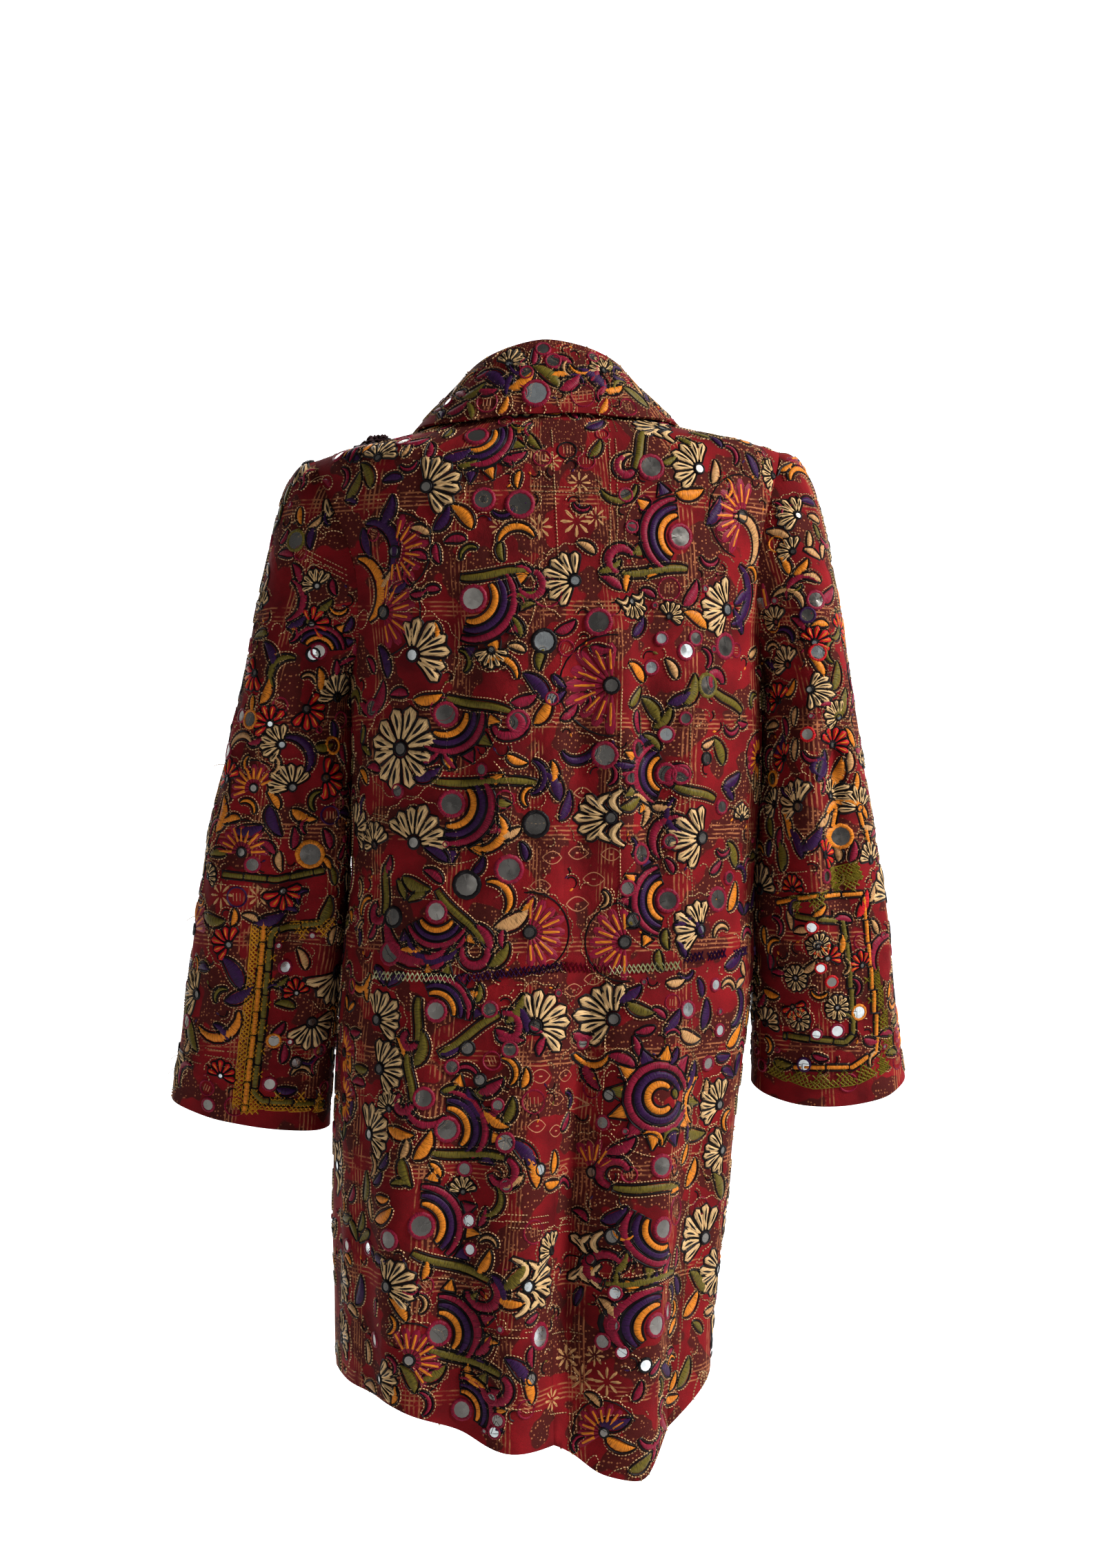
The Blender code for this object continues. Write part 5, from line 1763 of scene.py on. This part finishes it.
    def fill(self, name: str, tries: int, sizes: Pair, closeness: float) -> None:
        """Fills free cloth with small motifs.

        Args:
            name: The ground.
            tries: How many places are tried.
            sizes: The smallest and the largest motif.
            closeness: How near two motifs may come, as a share of their radii.
        """
        ground, work = self.grounds[name], self.works[name]
        plain_from = self.plain_bands.get(name, -2.0)
        laid = 0
        for _ in range(tries):
            index = self.chance.randrange(len(ground.spots))
            size = self.chance.uniform(*sizes)
            spot = ground.spots[index]
            if spot[2] < plain_from + size or not work.is_free(spot, size, closeness):
                continue
            turn = self.chance.choice((-90, -60, 60, 90, 0, 30, -30, 180)) + self.chance.uniform(-14, 14)
            colour = self.chance.choice((ORANGE, PURPLE, OLIVE, WINE, WINE, TAN))
            strips = self.filler(size, colour, self.chance.random())
            work.lay(strips, (Vector(spot), Vector(ground.facing[index]), ground.panels[index]), turn, size)
            laid += 1
        LOG.info("fill on %s: %d motifs", name, laid)

    def filler(self, size: float, colour: Thread, draw: float) -> List[Strip]:
        """The motif that fits a free place.

        Args:
            size: Its radius in metres.
            colour: Its thread, where it has a choice of one.
            draw: A number from 0 to 1 that chooses its kind.

        Returns:
            The motif.
        """
        book = self.book
        if size > LARGE_M:
            return (book.fan, book.ray_fan, book.rainbow, book.scroll, book.fan)[int(draw * 5)](size)
        if size > SPRAY_M:
            return book.fan(size) if draw < 0.4 else (book.vee if draw < 0.7 else book.crescent)(size, colour)
        if size > LEAF_M:
            if draw < 0.12:
                return book.glass(size * 0.6) if draw < 0.07 else book.ring(size * 0.8)
            return (book.leaf if draw < 0.75 else book.crescent)(size, colour)
        if draw < 0.45:
            return book.sprig(size)
        return book.tendril(size) if draw < 0.93 else book.glass(size * 0.5)

    def work(self) -> Dict[str, Object]:
        """Works the whole coat and returns the needlework by its carrying node."""
        for side in (Side.BACK, Side.FRONT):
            self.work_chart(side)
            self.work_lines(side)
        for name in self.grounds:
            for tries, sizes, closeness in SMALL_FILL if name == "collar" else LARGE_FILL + SMALL_FILL:
                self.fill(name, tries, sizes, closeness)
        return {panel: work.make(panel) for work in self.works.values() for panel in work.patches}


@dataclass
class ShoulderRosette:
    """The small ragged cloth rosette on the wearer's left shoulder."""

    petals: int = 13
    layers: int = 3
    radius: float = 0.020
    height: float = 0.011
    ragged: float = 0.0007
    ripple: float = 0.0016
    thickness: float = 0.0007
    finish: PlainFinish = PlainFinish("plum_rosette_cotton", (0.045, 0.006, 0.010), 0.85, 500.0, 0.0008)

    def build(self) -> Object:
        """Builds the rosette's crumpled petals over its solid's place."""
        low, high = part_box("shoulder_rosette")
        middle = (Vector(low) + Vector(high)) / 2
        chance = random.Random(3)
        points: List[Vector] = []
        faces: List[Face] = []
        for layer in range(self.layers):
            for number in range(self.petals):
                turn = 2 * math.pi * (number + 0.37 * layer) / self.petals
                reach = self.radius * (1.0 - 0.27 * layer) * chance.uniform(0.85, 1.1)
                start = len(points)
                points += [middle + spot for spot in self.petal(turn, reach, layer, chance)]
                for a in (start + row * 5 + column for row in range(4) for column in range(4)):
                    faces.append((a, a + 1, a + 6, a + 5))
        rosette = link_mesh("rosette_petals", points, faces, [self.finish.material()])
        rosette.modifiers.new("cloth", "SOLIDIFY").thickness = self.thickness
        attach(rosette, "root")
        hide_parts("shoulder_rosette")
        LOG.info("shoulder rosette: %d faces", len(faces))
        return rosette

    def petal(self, turn: float, reach: float, layer: int, chance: random.Random) -> List[Vector]:
        """Five rows of five points of one petal.

        Args:
            turn: Its direction in radians.
            reach: Its length.
            layer: Its layer, from the lowest.
            chance: The source of its raggedness.

        Returns:
            The points from the rosette's middle.
        """
        points: List[Vector] = []
        for share in (row / 4 for row in range(5)):
            for column in (-1.0, -0.5, 0.0, 0.5, 1.0):
                spread = 0.30 * column * (0.4 + share)
                out = reach * (0.15 + 0.85 * share)
                rise = self.height * (-0.45 + 0.34 * layer + 0.5 * math.sin(share * 2.4))
                rise += chance.uniform(-self.ragged, self.ragged)
                rise += self.ripple * math.cos(column * 3.0) * share
                x, y = out * math.cos(turn + spread), out * math.sin(turn + spread)
                points.append(Vector((x, y, rise - 0.10 * x)))
        return points


@dataclass
class FrontButtons:
    """Two dark horn buttons on the right front, turned with a raised rim and sewn on with a cross of thread.

    The profile's columns are shares of the button's radius and thickness.
    """

    nodes: Tuple[str, ...] = ("button_1", "button_2")
    profile: Tuple[Row, ...] = (
        (0.0, 0.10), (0.40, 0.10), (0.60, 0.16), (0.72, 0.40), (0.86, 0.50), (0.97, 0.34), (1.0, 0.0),
        (0.96, -0.34), (0.85, -0.5), (0.0, -0.5),
    )
    segments: int = 40
    thread_reach: float = 0.24
    thread_half_m: float = 0.0008
    finish: PlainFinish = PlainFinish("dark_horn_button", (0.050, 0.022, 0.013), 0.26, 160.0, 0.0002)

    def build(self, thread: Material) -> None:
        """Builds both buttons.

        Args:
            thread: The sewing thread's material.
        """
        horn = self.finish.material()
        for node in self.nodes:
            button = self.turned(node, horn, thread)
            LOG.info("button %s: %d faces", node, len(button.data.polygons))

    def turned(self, node: str, horn: Material, thread: Material) -> Object:
        """Builds one button on its solid's middle, axis and size.

        Args:
            node: The solid.
            horn: The button's material.
            thread: The sewing thread's material.

        Returns:
            The button.
        """
        points = np.array([vertex.co for vertex in bpy.data.objects[node].data.vertices])
        middle = (points.max(axis=0) + points.min(axis=0)) / 2
        axes = np.linalg.svd(points - points.mean(axis=0))[2]
        out = axes[2] * (-1.0 if axes[2][1] > 0 else 1.0)
        across, along = axes[0], np.cross(out, axes[0])
        reach = np.abs((points - middle) @ across).max()
        depth = np.ptp((points - middle) @ out)
        made: List[np.ndarray] = []
        for share, rise in self.profile:
            for turn in np.linspace(0.0, 2 * math.pi, self.segments, endpoint=False):
                flat = across * math.cos(turn) + along * math.sin(turn)
                made.append(middle + flat * reach * share + out * depth * rise)
        faces: List[Face] = []
        for low in range(0, (len(self.profile) - 1) * self.segments, self.segments):
            high = low + self.segments
            for step in range(self.segments):
                after = (step + 1) % self.segments
                faces.append((low + step, high + step, high + after, low + after))
        slots = [0] * len(faces)
        for way in (1.0, -1.0):
            run = (across + along * way) / math.sqrt(2)
            side = np.cross(out, run)
            start = len(made)
            for share in np.linspace(-1.0, 1.0, 7):
                rise = 0.10 + 0.12 * (1 - share**2)
                centre = middle + run * reach * self.thread_reach * share
                for edge, drop in ((-1.0, -0.06), (0.0, 0.04), (1.0, -0.06)):
                    made.append(centre + side * edge * self.thread_half_m + out * depth * (rise + drop))
            for a in (start + 3 * row + column for row in range(6) for column in range(2)):
                faces.append((a, a + 3, a + 4, a + 1))
        slots += [1] * (len(faces) - len(slots))
        button = link_mesh("turned_" + node, [tuple(point) for point in made], faces, [horn, thread], slots)
        button.data.uv_layers.new(name="cloth")
        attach(button, "root")
        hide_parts(node)
        return button


@dataclass
class LooseThreads:
    """Short ends of thread that stand out from the left shoulder and the sleeves' edges."""

    roots: Tuple[Row, ...] = (
        (266, 1530), (262, 1546), (292, 1330), (330, 1110), (470, 690), (462, 680), (586, 640), (1296, 1300),
        (1250, 1010), (1300, 1440),
    )
    length: float = 0.013
    sag: float = 0.006
    wave: float = 0.003
    thickness: float = 0.00028
    chance: random.Random = field(default_factory=lambda: random.Random(5))

    def build(self, embroiderer: Embroiderer, floss: Material) -> None:
        """Builds the thread ends as one mesh of thin tubes.

        Args:
            embroiderer: Finds the cloth at a place of the frame.
            floss: The thread's material.
        """
        points: List[Vector] = []
        faces: List[Face] = []
        up = Vector((0, 0, 1))
        for across, down in self.roots:
            nearest = embroiderer.find(across, down, Side.BACK)
            if nearest is None:
                continue
            spot, out, _ = nearest[1]
            way = (out + Vector((math.copysign(0.8, spot.x), 0.0, self.chance.uniform(-0.5, 0.6)))).normalized()
            sway = way.cross(up).normalized()
            start = len(points)
            for share in (step / 9 for step in range(10)):
                bend = math.sin(share * self.chance.uniform(3.5, 4.0))
                middle = spot + way * self.length * share + sway * self.wave * bend - up * self.sag * share * share
                for turn in (0.0, 2.1, 4.2):
                    points.append(middle + (sway * math.cos(turn) + up * math.sin(turn)) * self.thickness)
            for low in range(start, start + 27, 3):
                for side in range(3):
                    after = (side + 1) % 3
                    faces.append((low + side, low + after, low + 3 + after, low + 3 + side))
        ends = link_mesh("loose_threads", points, faces, [floss])
        ends.data.uv_layers.new(name="cloth")
        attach(ends, "root")
        LOG.info("loose threads: %d faces", len(faces))


@dataclass(frozen=True)
class PaleSweep:
    """The studio's plain paper, its wall a little luminous so that it stays white."""

    colour: Colour = (0.86, 0.86, 0.87)
    glow: float = 0.80

    def material(self, name: str, glow: float) -> Material:
        """Builds the paper's material with a glow of its own."""
        graph = Graph(name)
        graph.surface((*self.colour, 1.0), Roughness=0.9, Specular_IOR_Level=0.0, Emission_Strength=glow)
        graph.shader.inputs["Emission Color"].default_value = (1.0, 1.0, 1.0, 1.0)
        return graph.material


@dataclass
class Studio:
    """A pale floor that sweeps up to a wall, soft light from the right and the camera behind the coat."""

    floor_height: float = -1.42
    floor_end: float = 5.0
    wall_distance: float = 3.4
    bend: float = 1.4
    width: float = 16.0
    wall_height: float = 4.0
    glow_from: float = -1.0
    sky: Tuple[float, ...] = (0.97, 0.97, 1.0, 1.0)
    sky_strength: float = 0.15
    target: Colour = (0.0, 0.0, -0.35)
    finish: PaleSweep = PaleSweep()

    def build(self) -> None:
        """Builds the sweep, lights, world and camera."""
        self.sweep()
        world = bpy.data.worlds.new("studio")
        world.use_nodes = True
        world.node_tree.nodes["Background"].inputs[0].default_value = self.sky
        world.node_tree.nodes["Background"].inputs[1].default_value = self.sky_strength
        bpy.context.scene.world = world
        self.light("key", (-2.7, 1.12, 1.55), 192.0, 0.8)
        self.light("fill", (2.2, 2.6, 0.2), 9.0, 2.0)
        self.light("front", (0.8, -2.2, 1.0), 50.0, 2.0)
        bpy.context.scene.view_settings.view_transform = "Standard"
        self.camera()
        LOG.info("studio")

    def sweep(self) -> None:
        """Builds the floor and wall as one bent sheet of paper."""
        start = self.bend - self.wall_distance
        profile = [(self.floor_end, self.floor_height), (self.glow_from, self.floor_height)]
        for turn in np.linspace(0.0, math.pi / 2, 13):
            profile.append((start - self.bend * math.sin(turn), self.floor_height + self.bend * (1 - math.cos(turn))))
        profile.append((-self.wall_distance, self.wall_height))
        points = [(x, y, z) for y, z in profile for x in (-self.width / 2, self.width / 2)]
        faces = [(2 * i, 2 * i + 1, 2 * i + 3, 2 * i + 2) for i in range(len(profile) - 1)]
        papers = [self.finish.material("pale_floor", 0.0), self.finish.material("pale_wall", self.finish.glow)]
        link_mesh("studio_floor", points, faces, papers, [0] + [1] * (len(faces) - 1))

    def light(self, name: str, place: Row, power: float, size: float) -> None:
        """Adds a soft light that looks at the coat's middle.

        Args:
            name: Its name.
            place: Its place.
            power: Its power in watts.
            size: Its width in metres.
        """
        data = bpy.data.lights.new(name, "AREA")
        data.energy = power
        data.size = size
        lamp = link(name, data)
        lamp.location = place
        lamp.rotation_euler = (Vector(self.target) - Vector(place)).to_track_quat("-Z", "Y").to_euler()

    def camera(self) -> None:
        """Adds the camera at the photograph's place."""
        data = bpy.data.cameras.new("camera")
        data.lens = LENS_MM
        data.sensor_width = 36.0
        data.clip_end = 100.0
        camera = link("camera", data)
        camera.location = CAMERA_PLACE
        camera.rotation_euler = (math.pi / 2, 0.0, math.pi)
        bpy.context.scene.camera = camera


def main() -> None:
    """Builds the dressed coat in order."""
    logging.basicConfig(level=logging.INFO, format="%(name)s: %(message)s")
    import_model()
    Studio().build()
    coat = CoatShell()
    shells = coat.build()
    bpy.context.view_layer.update()
    body = [shells[name] for name in shells if name.split("_")[0] in ("back", "side", "front", "lapel")]
    grounds = {
        "body": Ground(body, BODY_AXIS),
        "sleeve_left": Ground([shells["sleeve_left"]], LEFT_ARM),
        "sleeve_right": Ground([shells["sleeve_right"]], RIGHT_ARM),
        "collar": Ground([shells["collar"]], COLLAR_AXIS),
    }
    finishes: Dict[Enum, Material] = {thread: ThreadFinish(thread).material() for thread in Thread}
    finishes.update({mirror: MirrorFinish(mirror).material() for mirror in Mirror})
    works = {name: Needlework(ground, finishes) for name, ground in grounds.items()}
    embroiderer = Embroiderer(grounds, works)
    needlework = embroiderer.work()
    LooseThreads().build(embroiderer, finishes[CREAM])
    ShoulderRosette().build()
    FrontButtons().build(finishes[BLACK])
    faces = sum(len(thing.data.polygons) for thing in (*shells.values(), *needlework.values()))
    LOG.info("all cloth and needlework: %d faces", faces)


if __name__ == "__main__":
    main()
